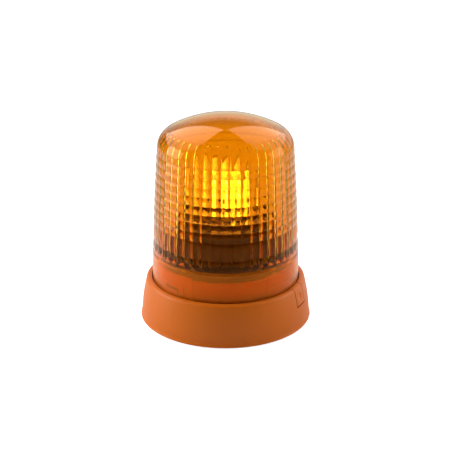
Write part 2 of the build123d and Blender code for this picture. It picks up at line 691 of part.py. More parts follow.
def lens_wall_circle():
    """Centre and radius of the arc that the lens's side wall follows."""
    foot = (LENS_FOOT_RADIUS, LENS_FOOT_Z)
    middle = (LENS_MIDDLE_RADIUS, LENS_MIDDLE_Z)
    return circle_through(foot, middle, (LENS_SHOULDER_RADIUS, LENS_SHOULDER_Z))


def crown_circle():
    """Centre and radius of the crown's sphere, tangent to the shoulder and as high as the lens."""
    (shoulder_r, shoulder_z), shoulder_round = shoulder_circle()
    drop = LENS_TOP_Z - shoulder_z
    radius = (shoulder_r ** 2 + drop ** 2 - shoulder_round ** 2) / (2 * (drop - shoulder_round))
    return (0.0, LENS_TOP_Z - radius), radius


def crown_start_angle():
    """Slope of the normal where the shoulder meets the crown, from horizontal."""
    (shoulder_r, shoulder_z), _ = shoulder_circle()
    (_, crown_z), _ = crown_circle()
    return atan2(shoulder_z - crown_z, shoulder_r)


def lens_radius(height, inset=0.0):
    """Radius at a height of the lens's outer form, moved inward along its normal by inset."""
    (wall_r, wall_z), wall_round = lens_wall_circle()
    (shoulder_r, shoulder_z), shoulder_round = shoulder_circle()
    (_, crown_z), crown_round = crown_circle()
    if height <= LENS_SHOULDER_Z:
        return wall_r + sqrt((wall_round - inset) ** 2 - (height - wall_z) ** 2)
    shoulder_top = shoulder_z + (shoulder_round - inset) * sin(crown_start_angle())
    if height <= shoulder_top:
        return shoulder_r + sqrt((shoulder_round - inset) ** 2 - (height - shoulder_z) ** 2)
    return sqrt((crown_round - inset) ** 2 - (height - crown_z) ** 2)


def shoulder_and_crown_edges(inset):
    """The shoulder and crown arcs at an inset, from the wall's top to the axis."""
    (shoulder_r, shoulder_z), shoulder_round = shoulder_circle()
    (_, crown_z), crown_round = crown_circle()
    start = profile_point(lens_radius(LENS_SHOULDER_Z, inset), LENS_SHOULDER_Z)
    first = atan2(LENS_SHOULDER_Z - shoulder_z, start.X - shoulder_r)
    last = crown_start_angle()
    middle_angle = (first + last) / 2
    arc_round = shoulder_round - inset
    middle_r = shoulder_r + arc_round * cos(middle_angle)
    middle = profile_point(middle_r, shoulder_z + arc_round * sin(middle_angle))
    join = profile_point(shoulder_r + arc_round * cos(last), shoulder_z + arc_round * sin(last))
    crown_middle_angle = (last + pi / 2) / 2
    crown_arc = crown_round - inset
    crown_middle_z = crown_z + crown_arc * sin(crown_middle_angle)
    crown_middle = profile_point(crown_arc * cos(crown_middle_angle), crown_middle_z)
    top = profile_point(0, crown_z + crown_arc)
    return ThreePointArc(start, middle, join), ThreePointArc(join, crown_middle, top)


def ring_heights():
    """Heights of the V grooves between the outer rings, from the top down."""
    heights = [RING_TOP_Z - k * RING_PITCH for k in range(RING_COUNT + 1)]
    for pitch in LOWER_RING_PITCHES:
        heights.append(heights[-1] - pitch)
    return heights


def lens_outer():
    """The lens's outer form: smooth collar, convex rings, rounded shoulder and crown."""
    grooves = ring_heights()[::-1]
    foot = profile_point(LENS_FOOT_RADIUS, LENS_FOOT_Z)
    collar_middle_z = (LENS_FOOT_Z + grooves[0]) / 2
    collar_end = profile_point(lens_radius(grooves[0], RING_DEPTH), grooves[0])
    edges = [ThreePointArc(foot, profile_point(lens_radius(collar_middle_z), collar_middle_z), collar_end)]
    for low, high in zip(grooves, grooves[1:]):
        middle = (low + high) / 2
        start = profile_point(lens_radius(low, RING_DEPTH), low)
        end = profile_point(lens_radius(high, RING_DEPTH), high)
        edges.append(ThreePointArc(start, profile_point(lens_radius(middle), middle), end))
    shoulder, crown = shoulder_and_crown_edges(0)
    edges.append(Line(edges[-1] @ 1, shoulder @ 0))
    closing = Polyline(crown @ 1, profile_point(0, LENS_FOOT_Z), foot)
    return turned(*edges, shoulder, crown, *closing.edges())


def flute_section(height, depth):
    """A star outline with one point in each flute, at a height inside the lens."""
    outer = lens_radius(height, LENS_WALL)
    inner = lens_radius(height, LENS_WALL + depth)
    half_step = 180.0 / FLUTE_COUNT
    corners = []
    for k in range(2 * FLUTE_COUNT):
        corners.append(polar(outer if k % 2 else inner, k * half_step))
    return Pos(0, 0, height) * make_face(Polyline(*corners, close=True))


def fluted_space():
    """The fluted part of the lens's hollow, from the collar to the edge of the crown."""
    (_, shoulder_z), shoulder_round = shoulder_circle()
    inner_round = shoulder_round - LENS_WALL
    top_z = shoulder_z + inner_round * sin(crown_start_angle())
    rise = top_z - LENS_SHOULDER_Z
    wall_rise = LENS_SHOULDER_Z - FLUTE_BOTTOM_Z
    heights = [FLUTE_BOTTOM_Z + wall_rise * k / FLUTE_BANDS for k in range(FLUTE_BANDS + 1)]
    heights += [LENS_SHOULDER_Z + rise * share for share in FLUTE_SHOULDER_SHARES]
    sections = [flute_section(height, FLUTE_DEPTH) for height in heights]
    sections.append(flute_section(top_z - FLUTE_END_DEPTH, FLUTE_END_DEPTH))
    return loft(sections, ruled=True)


def plain_space():
    """The smooth part of the lens's hollow: the collar, a core and the crown."""
    inset = LENS_WALL + FLUTE_DEPTH + CORE_MARGIN
    shoulder, _ = shoulder_and_crown_edges(inset)
    _, crown = shoulder_and_crown_edges(LENS_WALL)
    foot = profile_point(LENS_INNER_FOOT_RADIUS, LENS_FOOT_Z)
    collar_top = profile_point(lens_radius(FLUTE_BOTTOM_Z, LENS_WALL), FLUTE_BOTTOM_Z)
    core_foot = profile_point(lens_radius(FLUTE_BOTTOM_Z, inset), FLUTE_BOTTOM_Z)
    middle_z = (FLUTE_BOTTOM_Z + LENS_SHOULDER_Z) / 2
    core_wall = ThreePointArc(core_foot, profile_point(lens_radius(middle_z, inset), middle_z), shoulder @ 0)
    lower = Polyline(profile_point(0, LENS_FOOT_Z), foot, collar_top, core_foot)
    closing = Line(crown @ 1, profile_point(0, LENS_FOOT_Z))
    return turned(*lower.edges(), core_wall, shoulder, Line(shoulder @ 1, crown @ 0), crown, closing)


def lens_dome():
    """The amber lens: ringed outside, fluted inside, with three bayonet lugs at its foot."""
    lens = lens_outer() - plain_space() - fluted_space()
    lug_inner = SPIGOT_RADIUS + LUG_GAP
    lug_outer = LENS_INNER_FOOT_RADIUS + LUG_ROOT
    lug_top = LEDGE_Z - LUG_GAP
    for angle in SEGMENT_ANGLES:
        start = angle + LUG_CENTRE_ARC - LUG_ARC / 2
        lens += arc_block(lug_inner, lug_outer, lug_top - LUG_HEIGHT, lug_top, start, LUG_ARC)
    return lens


def lens_seal():
    """Flat rubber ring under the lens's foot."""
    return tube(LENS_FOOT_RADIUS - SEAL_WIDTH, LENS_FOOT_RADIUS, SEAL_Z, SEAL_Z + SEAL_HEIGHT)


# Lock tab

def lock_tab():
    """The lens lock tab: a piece of the skirt and lip that hinges on a pin at its foot."""
    block = Box(TOE_RADIUS, 2 * TAB_HALF_WIDTH, LIP_Z, align=(Align.MIN, Align.CENTER, Align.MIN))
    blank = base_outer_body() & Pos(0, 0, TAB_FOOT_Z) * block
    nose_radius = LENS_FOOT_RADIUS + TAB_LENS_GAP
    blank -= disc(nose_radius, 0, 2 * LIP_Z)
    nose_z = LIP_Z - TAB_NOSE_DEPTH
    blank -= inside_skirt(TAB_THICKNESS) & disc(TOE_RADIUS, 0, nose_z)
    knuckle_length = 2 * TAB_HALF_WIDTH
    pin_x = tab_pin_radius_from_axis()
    blank += Pos(pin_x, 0, TAB_PIN_Z) * Rot(90, 0, 0) * Cylinder(TAB_KNUCKLE_RADIUS, knuckle_length)
    blank -= tab_bore(TAB_PIN_RADIUS + TAB_PIN_GAP)
    ball = (TAB_DIMPLE_RADIUS ** 2 + TAB_DIMPLE_DEPTH ** 2) / (2 * TAB_DIMPLE_DEPTH)
    surface_x = skirt_radius(TAB_DIMPLE_Z)
    return blank - Pos(surface_x + ball - TAB_DIMPLE_DEPTH, 0, TAB_DIMPLE_Z) * Sphere(ball)


def tab_pin():
    """Steel hinge pin of the lock tab."""
    return tab_bore(TAB_PIN_RADIUS)


# Chassis

def post_screw_places():
    """Plan places of the screws that hold the lamp post's flange."""
    step = 360.0 / POST_SCREW_COUNT
    return [polar(POST_SCREW_CIRCLE_RADIUS, MOTOR_ANGLE + step * (k + 0.5)) for k in range(POST_SCREW_COUNT)]


def motor_centre():
    """Plan centre of the motor and its pinion."""
    return polar(CENTRE_DISTANCE, MOTOR_ANGLE)


def motor_screw_places():
    """Plan places of the two motor screws, square to the gear's centre line."""
    x, y = motor_centre()
    offset_x, offset_y = polar(MOTOR_SCREW_OFFSET, MOTOR_ANGLE + 90)
    return [(x + side * offset_x, y + side * offset_y) for side in (-1, 1)]


def chassis_plate():
    """Round plate over the pillars, which carries the post and the motor."""
    plate = disc(CHASSIS_RADIUS, CHASSIS_Z, CHASSIS_TOP_Z)
    plate -= disc(POST_RADIUS + POST_FIT, CHASSIS_Z, CHASSIS_TOP_Z)
    plate -= disc(MOTOR_BOSS_RADIUS + MOTOR_BOSS_FIT, CHASSIS_Z, CHASSIS_TOP_Z, motor_centre())
    for angle in PILLAR_ANGLES:
        plate -= disc(SCREW_RADIUS + SCREW_FIT, CHASSIS_Z, CHASSIS_TOP_Z, polar(PILLAR_CIRCLE_RADIUS, angle))
    for centre in motor_screw_places():
        plate -= disc(SMALL_SCREW_RADIUS + SCREW_FIT, CHASSIS_Z, CHASSIS_TOP_Z, centre)
    for centre in post_screw_places():
        plate -= disc(SMALL_SCREW_RADIUS + SCREW_FIT, CHASSIS_Z, CHASSIS_TOP_Z, centre)
    for angle in BOLT_ANGLES:
        plate -= disc(CHASSIS_LIGHTENING_RADIUS, CHASSIS_Z, CHASSIS_TOP_Z, polar(PILLAR_CIRCLE_RADIUS, angle))
    return plate


def chassis_screws():
    """Three screws that hold the plate on the pillars."""
    screws = Part()
    for angle in PILLAR_ANGLES:
        centre = polar(PILLAR_CIRCLE_RADIUS, angle)
        screws += screw(
            SCREW_RADIUS, SCREW_HEAD_RADIUS, SCREW_HEAD_HEIGHT, CHASSIS_TOP_Z, SCREW_DEPTH, centre
        )
    return screws


def lamp_post():
    """The fixed hollow spindle, with a flange under the plate and a groove for the retaining ring."""
    bottom = CHASSIS_Z - POST_FLANGE_THICKNESS
    post = disc(POST_FLANGE_RADIUS, bottom, CHASSIS_Z) + disc(POST_RADIUS, bottom, POST_TOP_Z)
    post -= disc(POST_BORE_RADIUS, bottom, POST_TOP_Z)
    groove_z = HUB_TOP_Z + WASHER_FACE_GAP
    groove_bottom = groove_z - SHAFT_RUNNING_GAP
    groove_top = groove_z + RETAINING_RING_THICKNESS + SHAFT_RUNNING_GAP
    groove_radius = POST_RADIUS - RETAINING_GROOVE_DEPTH
    post -= tube(groove_radius, POST_FLANGE_RADIUS, groove_bottom, groove_top)
    for centre in post_screw_places():
        post -= disc(SMALL_SCREW_RADIUS + SCREW_FIT, bottom, CHASSIS_Z, centre)
    return post


def post_screws():
    """Three countersunk screws that hold the post's flange to the plate."""
    screws = Part()
    bottom = CHASSIS_Z - POST_FLANGE_THICKNESS
    for centre in post_screw_places():
        screws += disc(SMALL_SCREW_RADIUS, bottom, CHASSIS_TOP_Z, centre)
        screws += disc(SMALL_SCREW_HEAD_RADIUS, bottom - SMALL_SCREW_HEAD_HEIGHT, bottom, centre)
    return screws


def thrust_washer():
    """Nylon washer between the plate and the hub."""
    return tube(POST_RADIUS + POST_FIT, HUB_RADIUS, CHASSIS_TOP_Z, CHASSIS_TOP_Z + THRUST_WASHER_THICKNESS)


def retaining_ring():
    """Spring ring in the post's groove, above the hub."""
    bottom = HUB_TOP_Z + WASHER_FACE_GAP
    inner = POST_RADIUS - RETAINING_GROOVE_DEPTH + SHAFT_FIT
    ring = tube(inner, RETAINING_RING_RADIUS, bottom, bottom + RETAINING_RING_THICKNESS)
    reach = RETAINING_RING_RADIUS
    return ring - slab(reach, RETAINING_RING_MOUTH, bottom, bottom + RETAINING_RING_THICKNESS, (reach, 0))


# Reflector drive

def involute(angle):
    """The involute function."""
    return tan(angle) - angle


def gear_face(teeth, shift, relief):
    """Plan outline of a spur gear with one tooth centred on +X."""
    pitch_radius = MODULE * teeth / 2
    pressure = radians(PRESSURE_ANGLE)
    base_radius = pitch_radius * cos(pressure)
    tip_radius = pitch_radius + MODULE * (1 + shift)
    root_radius = pitch_radius - MODULE * (1 + ROOT_CLEARANCE - shift)
    half_pitch = (pi / 2 + 2 * shift * tan(pressure)) / teeth - GEAR_BACKLASH / 4 / pitch_radius
    start_radius = max(base_radius, root_radius)

    def flank(radius):
        return half_pitch + involute(pressure) - involute(acos(min(1.0, base_radius / radius)))

    def at(radius, angle):
        return Vector(radius * cos(angle), radius * sin(angle))

    middle_radius = (start_radius + tip_radius) / 2
    radii = [start_radius, middle_radius, tip_radius]
    root_half = flank(start_radius) * (relief if root_radius < base_radius else 1.0)
    edges = []
    for k in range(teeth):
        centre = 2 * pi * k / teeth
        next_centre = 2 * pi * (k + 1) / teeth
        rising = [at(r, centre - flank(r)) for r in radii]
        falling = [at(r, centre + flank(r)) for r in reversed(radii)]
        root_start = at(root_radius, centre - root_half)
        root_end = at(root_radius, centre + root_half)
        if root_radius < base_radius:
            edges.append(Line(root_start, rising[0]))
        edges.append(ThreePointArc(*rising))
        edges.append(ThreePointArc(rising[-1], at(tip_radius, centre), falling[0]))
        edges.append(ThreePointArc(*falling))
        if root_radius < base_radius:
            edges.append(Line(falling[-1], root_end))
        root_from = root_end if root_radius < base_radius else falling[-1]
        if root_radius < base_radius:
            root_to = at(root_radius, next_centre - root_half)
        else:
            root_to = at(start_radius, next_centre - flank(start_radius))
        edges.append(ThreePointArc(root_from, at(root_radius, (centre + next_centre) / 2), root_to))
    return make_face(Wire(edges))


def drive_gear():
    """Large acetal gear under the drum, with a thinner web and screw holes."""
    blank = extrude(gear_face(GEAR_TEETH, -PROFILE_SHIFT, 1.0), GEAR_THICKNESS)
    gear = Pos(0, 0, GEAR_Z) * Rot(0, 0, MOTOR_ANGLE) * blank
    gear -= disc(HUB_RADIUS + GEAR_SEAT_GAP, GEAR_Z, GEAR_TOP_Z)
    rim_inner = GEAR_PITCH_RADIUS - MODULE * (1 + ROOT_CLEARANCE + PROFILE_SHIFT) - GEAR_RIM
    boss_outer = HUB_RADIUS + HUB_WALL
    gear -= tube(boss_outer, rim_inner, GEAR_Z, GEAR_TOP_Z - GEAR_WEB)
    for centre in gear_screw_places():
        gear -= disc(SMALL_SCREW_RADIUS + SCREW_FIT, GEAR_Z, GEAR_TOP_Z, centre)
    return gear


def gear_screw_places():
    """Plan places of the screws that hold the gear to the drum's floor."""
    step = 360.0 / GEAR_SCREW_COUNT
    return [polar(GEAR_SCREW_CIRCLE_RADIUS, MOTOR_ANGLE + step * (k + 0.5)) for k in range(GEAR_SCREW_COUNT)]


def gear_screws():
    """Three screws up through the gear's web into the drum's floor."""
    screws = Part()
    web_z = GEAR_TOP_Z - GEAR_WEB
    for centre in gear_screw_places():
        screws += disc(SMALL_SCREW_RADIUS, web_z, DRUM_FLOOR_Z + DRUM_FLOOR_THICKNESS, centre)
        screws += disc(SMALL_SCREW_HEAD_RADIUS, web_z - SMALL_SCREW_HEAD_HEIGHT, web_z, centre)
    return screws


def drum_outline():
    """Profile of the drum: hub, floor, flare, wall and top, as radius and height pairs."""
    bore = BUSH_RADIUS + HUB_FIT
    floor_top = DRUM_FLOOR_Z + DRUM_FLOOR_THICKNESS
    flare_z = DRUM_FLOOR_Z + DRUM_FLARE_HEIGHT
    flare_start = GEAR_PITCH_RADIUS - DRUM_FLOOR_INSET
    top_under = DRUM_TOP_Z - DRUM_WALL
    return [
        (bore, HUB_BOTTOM_Z),
        (HUB_RADIUS, HUB_BOTTOM_Z),
        (HUB_RADIUS, DRUM_FLOOR_Z),
        (flare_start, DRUM_FLOOR_Z),
        (DRUM_RADIUS, flare_z),
        (DRUM_TOP_RADIUS, DRUM_TOP_Z - DRUM_TOP_ROUND),
        (DRUM_TOP_RADIUS - DRUM_TOP_ROUND, DRUM_TOP_Z),
        (DRUM_MOUTH_RADIUS, DRUM_TOP_Z),
        (DRUM_MOUTH_RADIUS, top_under),
        (DRUM_TOP_RADIUS - DRUM_WALL, top_under),
        (DRUM_RADIUS - DRUM_WALL, flare_z + DRUM_FLOOR_THICKNESS / 2),
        (flare_start, floor_top),
        (HUB_RADIUS, floor_top),
        (HUB_RADIUS, HUB_TOP_Z),
        (bore, HUB_TOP_Z),
    ]


def reflector_carrier():
    """Black drum that turns on the post and carries the reflector."""
    drum = turned_outline(drum_outline())
    for centre in gear_screw_places():
        floor_top = DRUM_FLOOR_Z + DRUM_FLOOR_THICKNESS
        drum -= disc(SMALL_SCREW_RADIUS + SCREW_FIT, DRUM_FLOOR_Z, floor_top, centre)
    for centre in foot_screw_places():
        drum -= disc(SMALL_SCREW_RADIUS + SCREW_FIT, DRUM_TOP_Z - DRUM_WALL, DRUM_TOP_Z, centre)
    return drum


def spindle_bush(bottom):
    """A sintered bronze bush in the hub."""
    return tube(POST_RADIUS + BUSH_RUNNING_GAP, BUSH_RADIUS, bottom, bottom + BUSH_LENGTH)


def reflector_place(shape):
    """Turns a shape from the reflector's own axes, facing +X, to its place on the drum."""
    return Rot(0, 0, REFLECTOR_FACING) * shape


def foot_screw_places():
    """Plan places of the reflector's two screws."""
    turn = radians(REFLECTOR_FACING)
    places = []
    for side in (-1, 1):
        x, y = FOOT_SCREW_X, side * FOOT_SCREW_Y
        places.append((x * cos(turn) - y * sin(turn), x * sin(turn) + y * cos(turn)))
    return places


def bowl_space(inset):
    """The paraboloid of revolution about the reflector's axis, grown by inset, from vertex to rim."""
    vertex_x = -FOCAL_LENGTH - inset
    rim_x = REFLECTOR_DEPTH - FOCAL_LENGTH
    rim_r = REFLECTOR_RADIUS + inset
    curve = Bezier((vertex_x, 0, 0), (vertex_x, 0, rim_r / 2), (rim_x, 0, rim_r))
    closing = Polyline((rim_x, 0, rim_r), (rim_x, 0, 0), (vertex_x, 0, 0))
    bowl = revolve(make_face(Wire([curve, *closing.edges()])), Axis.X, 360)
    return Pos(0, 0, REFLECTOR_CENTRE_Z) * bowl


def reflector():
    """Parabolic dish with a rim, two feet, a back rib and a round cut for the lamp holder."""
    rim_x = REFLECTOR_DEPTH - FOCAL_LENGTH
    rim_at = Pos(rim_x - REFLECTOR_RIM_THICKNESS / 2, 0, REFLECTOR_CENTRE_Z) * Rot(0, 90, 0)
    rim_radius = REFLECTOR_RADIUS + REFLECTOR_RIM_WIDTH
    dish = bowl_space(REFLECTOR_WALL) + rim_at * Cylinder(rim_radius, REFLECTOR_RIM_THICKNESS)
    foot_middle_x = FOOT_BACK + FOOT_LENGTH / 2
    for side in (-1, 1):
        middle_y = side * (FOOT_INNER_Y + FOOT_WIDTH / 2)
        dish += slab(FOOT_LENGTH, FOOT_WIDTH, DRUM_TOP_Z, DRUM_TOP_Z + FOOT_HEIGHT, (foot_middle_x, middle_y))
    back_x = -FOCAL_LENGTH - BACK_RIB_DEPTH
    rib_corners = [
        Vector(back_x, 0, DRUM_TOP_Z),
        Vector(0, 0, DRUM_TOP_Z),
        Vector(0, 0, REFLECTOR_CENTRE_Z),
        Vector(-FOCAL_LENGTH, 0, REFLECTOR_CENTRE_Z),
    ]
    rib = extrude(make_face(Polyline(*rib_corners, close=True)), BACK_RIB_THICKNESS / 2, both=True)
    dish += rib
    dish -= bowl_space(0)
    ahead = (Align.MIN, Align.CENTER, Align.CENTER)
    front = Box(REFLECTOR_RADIUS, 4 * REFLECTOR_RADIUS, 4 * REFLECTOR_RADIUS, align=ahead)
    dish -= Pos(rim_x, 0, REFLECTOR_CENTRE_Z) * front
    dish -= disc(2 * REFLECTOR_RADIUS, 0, DRUM_TOP_Z)
    dish -= disc(HOLDER_RADIUS + REFLECTOR_LAMP_GAP, 0, DRUM_TOP_Z + REFLECTOR_CUT_HEIGHT)
    for side in (-1, 1):
        centre = (FOOT_SCREW_X, side * FOOT_SCREW_Y)
        dish -= disc(SMALL_SCREW_RADIUS + SCREW_FIT, DRUM_TOP_Z, DRUM_TOP_Z + FOOT_HEIGHT, centre)
        head_z = DRUM_TOP_Z + FOOT_HEIGHT
        dish -= disc(SMALL_SCREW_HEAD_RADIUS + SCREW_FIT, head_z, head_z + REFLECTOR_CUT_HEIGHT, centre)
    return reflector_place(dish)


def reflector_screws():
    """Two screws down through the feet into the drum's top."""
    screws = Part()
    seat = DRUM_TOP_Z + FOOT_HEIGHT
    depth = FOOT_HEIGHT + DRUM_WALL
    for centre in foot_screw_places():
        screws += small_screw(seat, depth, centre)
    return screws


# Lamp

def lamp_holder():
    """Thermoset holder plugged into the top of the post."""
    spigot = disc(POST_BORE_RADIUS - HOLDER_FIT, LAMP_BODY_BOTTOM_Z, POST_TOP_Z)
    holder = spigot + disc(HOLDER_RADIUS, POST_TOP_Z, HOLDER_TOP_Z)
    bore = LAMP_BODY_RADIUS + LAMP_BODY_FIT
    holder -= disc(bore, LAMP_BODY_BOTTOM_Z, HOLDER_TOP_Z)
    for centre in clip_screw_places():
        holder -= disc(SMALL_SCREW_RADIUS + SCREW_FIT, POST_TOP_Z, HOLDER_TOP_Z, centre)
    return holder


def clip_screw_places():
    """Plan places of the two screws of the lamp clip."""
    return [polar(CLIP_SCREW_CIRCLE_RADIUS, angle) for angle in (0.0, 180.0)]


def lamp_clip():
    """Spring steel clip that holds the lamp's flange down."""
    seat = LAMP_FLANGE_TOP_Z
    clip = tube(LAMP_NECK_RADIUS + CLIP_NECK_GAP, HOLDER_RADIUS, seat, seat + CLIP_THICKNESS)
    bar = 2 * (LAMP_NECK_RADIUS + CLIP_NECK_GAP)
    clip &= slab(2 * HOLDER_RADIUS, bar, seat, seat + CLIP_THICKNESS)
    for centre in clip_screw_places():
        clip -= disc(SMALL_SCREW_RADIUS + SCREW_FIT, seat, seat + CLIP_THICKNESS, centre)
    return clip


def clip_screws():
    """Two screws of the lamp clip, each with a spacer collar down to the holder."""
    screws = Part()
    seat = LAMP_FLANGE_TOP_Z + CLIP_THICKNESS
    depth = seat - POST_TOP_Z
    for centre in clip_screw_places():
        screws += small_screw(seat, depth, centre)
    return screws


def lamp_base():
    """Metal cap of the lamp: flange, neck, insulated body and contact blade."""
    base = disc(LAMP_FLANGE_RADIUS, HOLDER_TOP_Z, LAMP_FLANGE_TOP_Z)
    base += disc(LAMP_NECK_RADIUS, LAMP_FLANGE_TOP_Z, LAMP_NECK_TOP_Z)
    base += disc(LAMP_BODY_RADIUS, LAMP_BODY_BOTTOM_Z, HOLDER_TOP_Z)
    blade_bottom = LAMP_BODY_BOTTOM_Z - BLADE_LENGTH
    base += slab(BLADE_WIDTH, BLADE_THICKNESS, blade_bottom, LAMP_BODY_BOTTOM_Z)
    flange_cut = 2 * (CLIP_SCREW_CIRCLE_RADIUS - SMALL_SCREW_RADIUS) - SCREW_FIT * 4
    flange_width = min(flange_cut, 2 * LAMP_FLANGE_RADIUS)
    return base & slab(flange_width, 4 * HOLDER_RADIUS, blade_bottom, LAMP_NECK_TOP_Z)


def lamp_glass():
    """Round-ended quartz envelope."""
    outer = capsule(LAMP_GLASS_RADIUS, LAMP_NECK_TOP_Z, LAMP_NECK_TOP_Z + LAMP_GLASS_LENGTH)
    inner_top = LAMP_NECK_TOP_Z + LAMP_GLASS_LENGTH - LAMP_GLASS_WALL
    return outer - capsule(LAMP_GLASS_RADIUS - LAMP_GLASS_WALL, LAMP_NECK_TOP_Z, inner_top)


def capsule(radius, bottom, top):
    """A cylinder with a hemispherical top."""
    return disc(radius, bottom, top - radius) + Pos(0, 0, top - radius) * Sphere(radius)


def lamp_filament():
    """Filament at the reflector's focus, on its two support wires."""
    low = REFLECTOR_CENTRE_Z - FILAMENT_LENGTH / 2
    high = REFLECTOR_CENTRE_Z + FILAMENT_LENGTH / 2
    arm = FILAMENT_POST_OFFSET + FILAMENT_POST_RADIUS
    wire = 2 * FILAMENT_POST_RADIUS
    filament = disc(FILAMENT_RADIUS, low, high)
    filament += disc(FILAMENT_POST_RADIUS, LAMP_NECK_TOP_Z, high, (FILAMENT_POST_OFFSET, 0))
    filament += disc(FILAMENT_POST_RADIUS, LAMP_NECK_TOP_Z, low, (-FILAMENT_POST_OFFSET, 0))
    filament += slab(arm, wire, high - wire, high, (arm / 2, 0))
    return filament + slab(arm, wire, low - wire / 2, low + wire / 2, (-arm / 2, 0))


def lamp_connector():
    """Connector pushed onto the lamp's blade, inside the post."""
    top = LAMP_BODY_BOTTOM_Z - CONNECTOR_SLOT_FIT
    body = disc(CONNECTOR_RADIUS, top - CONNECTOR_HEIGHT, top)
    length = BLADE_WIDTH + 2 * CONNECTOR_SLOT_FIT
    width = BLADE_THICKNESS + 2 * CONNECTOR_SLOT_FIT
    return body - slab(length, width, top - BLADE_LENGTH, top)


# Motor

def motor_can():
    """Drawn steel motor can with its front bearing boss."""
    x, y = motor_centre()
    bottom = MOTOR_BOTTOM_Z
    outline = [
        (0, bottom),
        (MOTOR_RADIUS, bottom),
        (MOTOR_RADIUS, CHASSIS_Z - MOTOR_EDGE),
        (MOTOR_RADIUS - MOTOR_EDGE, CHASSIS_Z),
        (MOTOR_BOSS_RADIUS, CHASSIS_Z),
        (MOTOR_BOSS_RADIUS, CHASSIS_Z + MOTOR_BOSS_HEIGHT),
        (0, CHASSIS_Z + MOTOR_BOSS_HEIGHT),
    ]
    can = Pos(x, y, 0) * turned_outline(outline)
    top = CHASSIS_Z + MOTOR_BOSS_HEIGHT
    can -= disc(SHAFT_RADIUS + SHAFT_RUNNING_GAP, SHAFT_TAIL_Z - SHAFT_RUNNING_GAP, top, (x, y))
    for centre in motor_screw_places():
        can -= disc(SMALL_SCREW_RADIUS + SCREW_FIT, CHASSIS_Z - MOTOR_SCREW_DEPTH, CHASSIS_Z, centre)
    return can


def motor_end_cap():
    """Moulded end cap of the motor with its two terminals."""
    x, y = motor_centre()
    bottom = MOTOR_BOTTOM_Z - MOTOR_CAP_THICKNESS
    cap = disc(MOTOR_RADIUS - MOTOR_CAP_INSET, bottom, MOTOR_BOTTOM_Z, (x, y))
    offset_x, offset_y = polar(MOTOR_TERMINAL_OFFSET, MOTOR_ANGLE + 90)
    for side in (-1, 1):
        centre = (x + side * offset_x, y + side * offset_y)
        blade = slab(MOTOR_TERMINAL_WIDTH, MOTOR_TERMINAL_THICKNESS, bottom - MOTOR_TERMINAL_LENGTH, bottom)
        cap += Pos(centre[0], centre[1], 0) * Rot(0, 0, MOTOR_ANGLE) * blade
    return cap


def motor_screws():
    """Two screws through the plate into the motor's face."""
    screws = Part()
    depth = CHASSIS_THICKNESS + MOTOR_SCREW_DEPTH
    for centre in motor_screw_places():
        head = SMALL_SCREW_HEAD_HEIGHT
        screws += screw(SMALL_SCREW_RADIUS, SMALL_SCREW_HEAD_RADIUS, head, CHASSIS_TOP_Z, depth, centre)
    return screws


def motor_shaft():
    """Steel shaft of the motor, ending just below the drum's floor."""
    return disc(SHAFT_RADIUS, SHAFT_TAIL_Z, GEAR_TOP_Z + PINION_EXTRA, motor_centre())


def motor_pinion():
    """Brass pinion on the motor's shaft, with one space facing the drive gear's tooth."""
    bottom = GEAR_Z - PINION_EXTRA
    height = GEAR_TOP_Z + PINION_EXTRA - bottom
    x, y = motor_centre()
    teeth = extrude(gear_face(PINION_TEETH, PROFILE_SHIFT, ROOT_RELIEF), height)
    pinion = Pos(x, y, bottom) * Rot(0, 0, MOTOR_ANGLE) * teeth
    pinion += disc(PINION_PITCH_RADIUS - MODULE, bottom - PINION_HUB_HEIGHT, bottom, (x, y))
    return pinion - disc(SHAFT_RADIUS + SHAFT_FIT, bottom - PINION_HUB_HEIGHT, bottom + height, (x, y))


# Wiring parts on the floor

def board_centre():
    """Plan centre of the control board."""
    return polar(BOARD_CENTRE_RADIUS, BOARD_ANGLE)


def board_screw_places():
    """Plan places of the board's two screws."""
    x, y = board_centre()
    along_x, along_y = polar(BOARD_SCREW_SPACING / 2, BOARD_ANGLE + 90)
    return [(x + side * along_x, y + side * along_y) for side in (-1, 1)]


def control_board():
    """Small circuit board on two posts."""
    bottom = FLOOR_TOP_Z + BOARD_POST_HEIGHT
    board = slab(BOARD_WIDTH, BOARD_LENGTH, bottom, bottom + BOARD_THICKNESS, board_centre(), BOARD_ANGLE)
    for centre in board_screw_places():
        board -= disc(SMALL_SCREW_RADIUS + SCREW_FIT, bottom, bottom + BOARD_THICKNESS, centre)
    return board


def board_screws():
    """Two screws of the control board."""
    screws = Part()
    seat = FLOOR_TOP_Z + BOARD_POST_HEIGHT + BOARD_THICKNESS
    depth = BOARD_THICKNESS + BOARD_POST_HEIGHT / 2
    for centre in board_screw_places():
        screws += small_screw(seat, depth, centre)
    return screws


def board_part_place(offset):
    """Plan place of a part that stands on the board, offset along the board's length."""
    x, y = board_centre()
    along_x, along_y = polar(offset, BOARD_ANGLE + 90)
    return x + along_x, y + along_y


def suppression_capacitor():
    """Round capacitor standing on the board."""
    seat = FLOOR_TOP_Z + BOARD_POST_HEIGHT + BOARD_THICKNESS
    return disc(CAPACITOR_RADIUS, seat, seat + CAPACITOR_HEIGHT, board_part_place(CAPACITOR_OFFSET))


def suppression_choke():
    """Ferrite bobbin with its winding, standing on the board."""
    seat = FLOOR_TOP_Z + BOARD_POST_HEIGHT + BOARD_THICKNESS
    place = board_part_place(CHOKE_OFFSET)
    top = seat + CHOKE_HEIGHT
    choke = disc(CHOKE_CORE_RADIUS + CHOKE_FLANGE, seat, top, place)
    choke += disc(CHOKE_RADIUS, seat, seat + CHOKE_FLANGE, place)
    return choke + disc(CHOKE_RADIUS, top - CHOKE_FLANGE, top, place)


def terminal_centre():
    """Plan centre of the terminal block."""
    return polar(TERMINAL_CENTRE_RADIUS, TERMINAL_ANGLE)


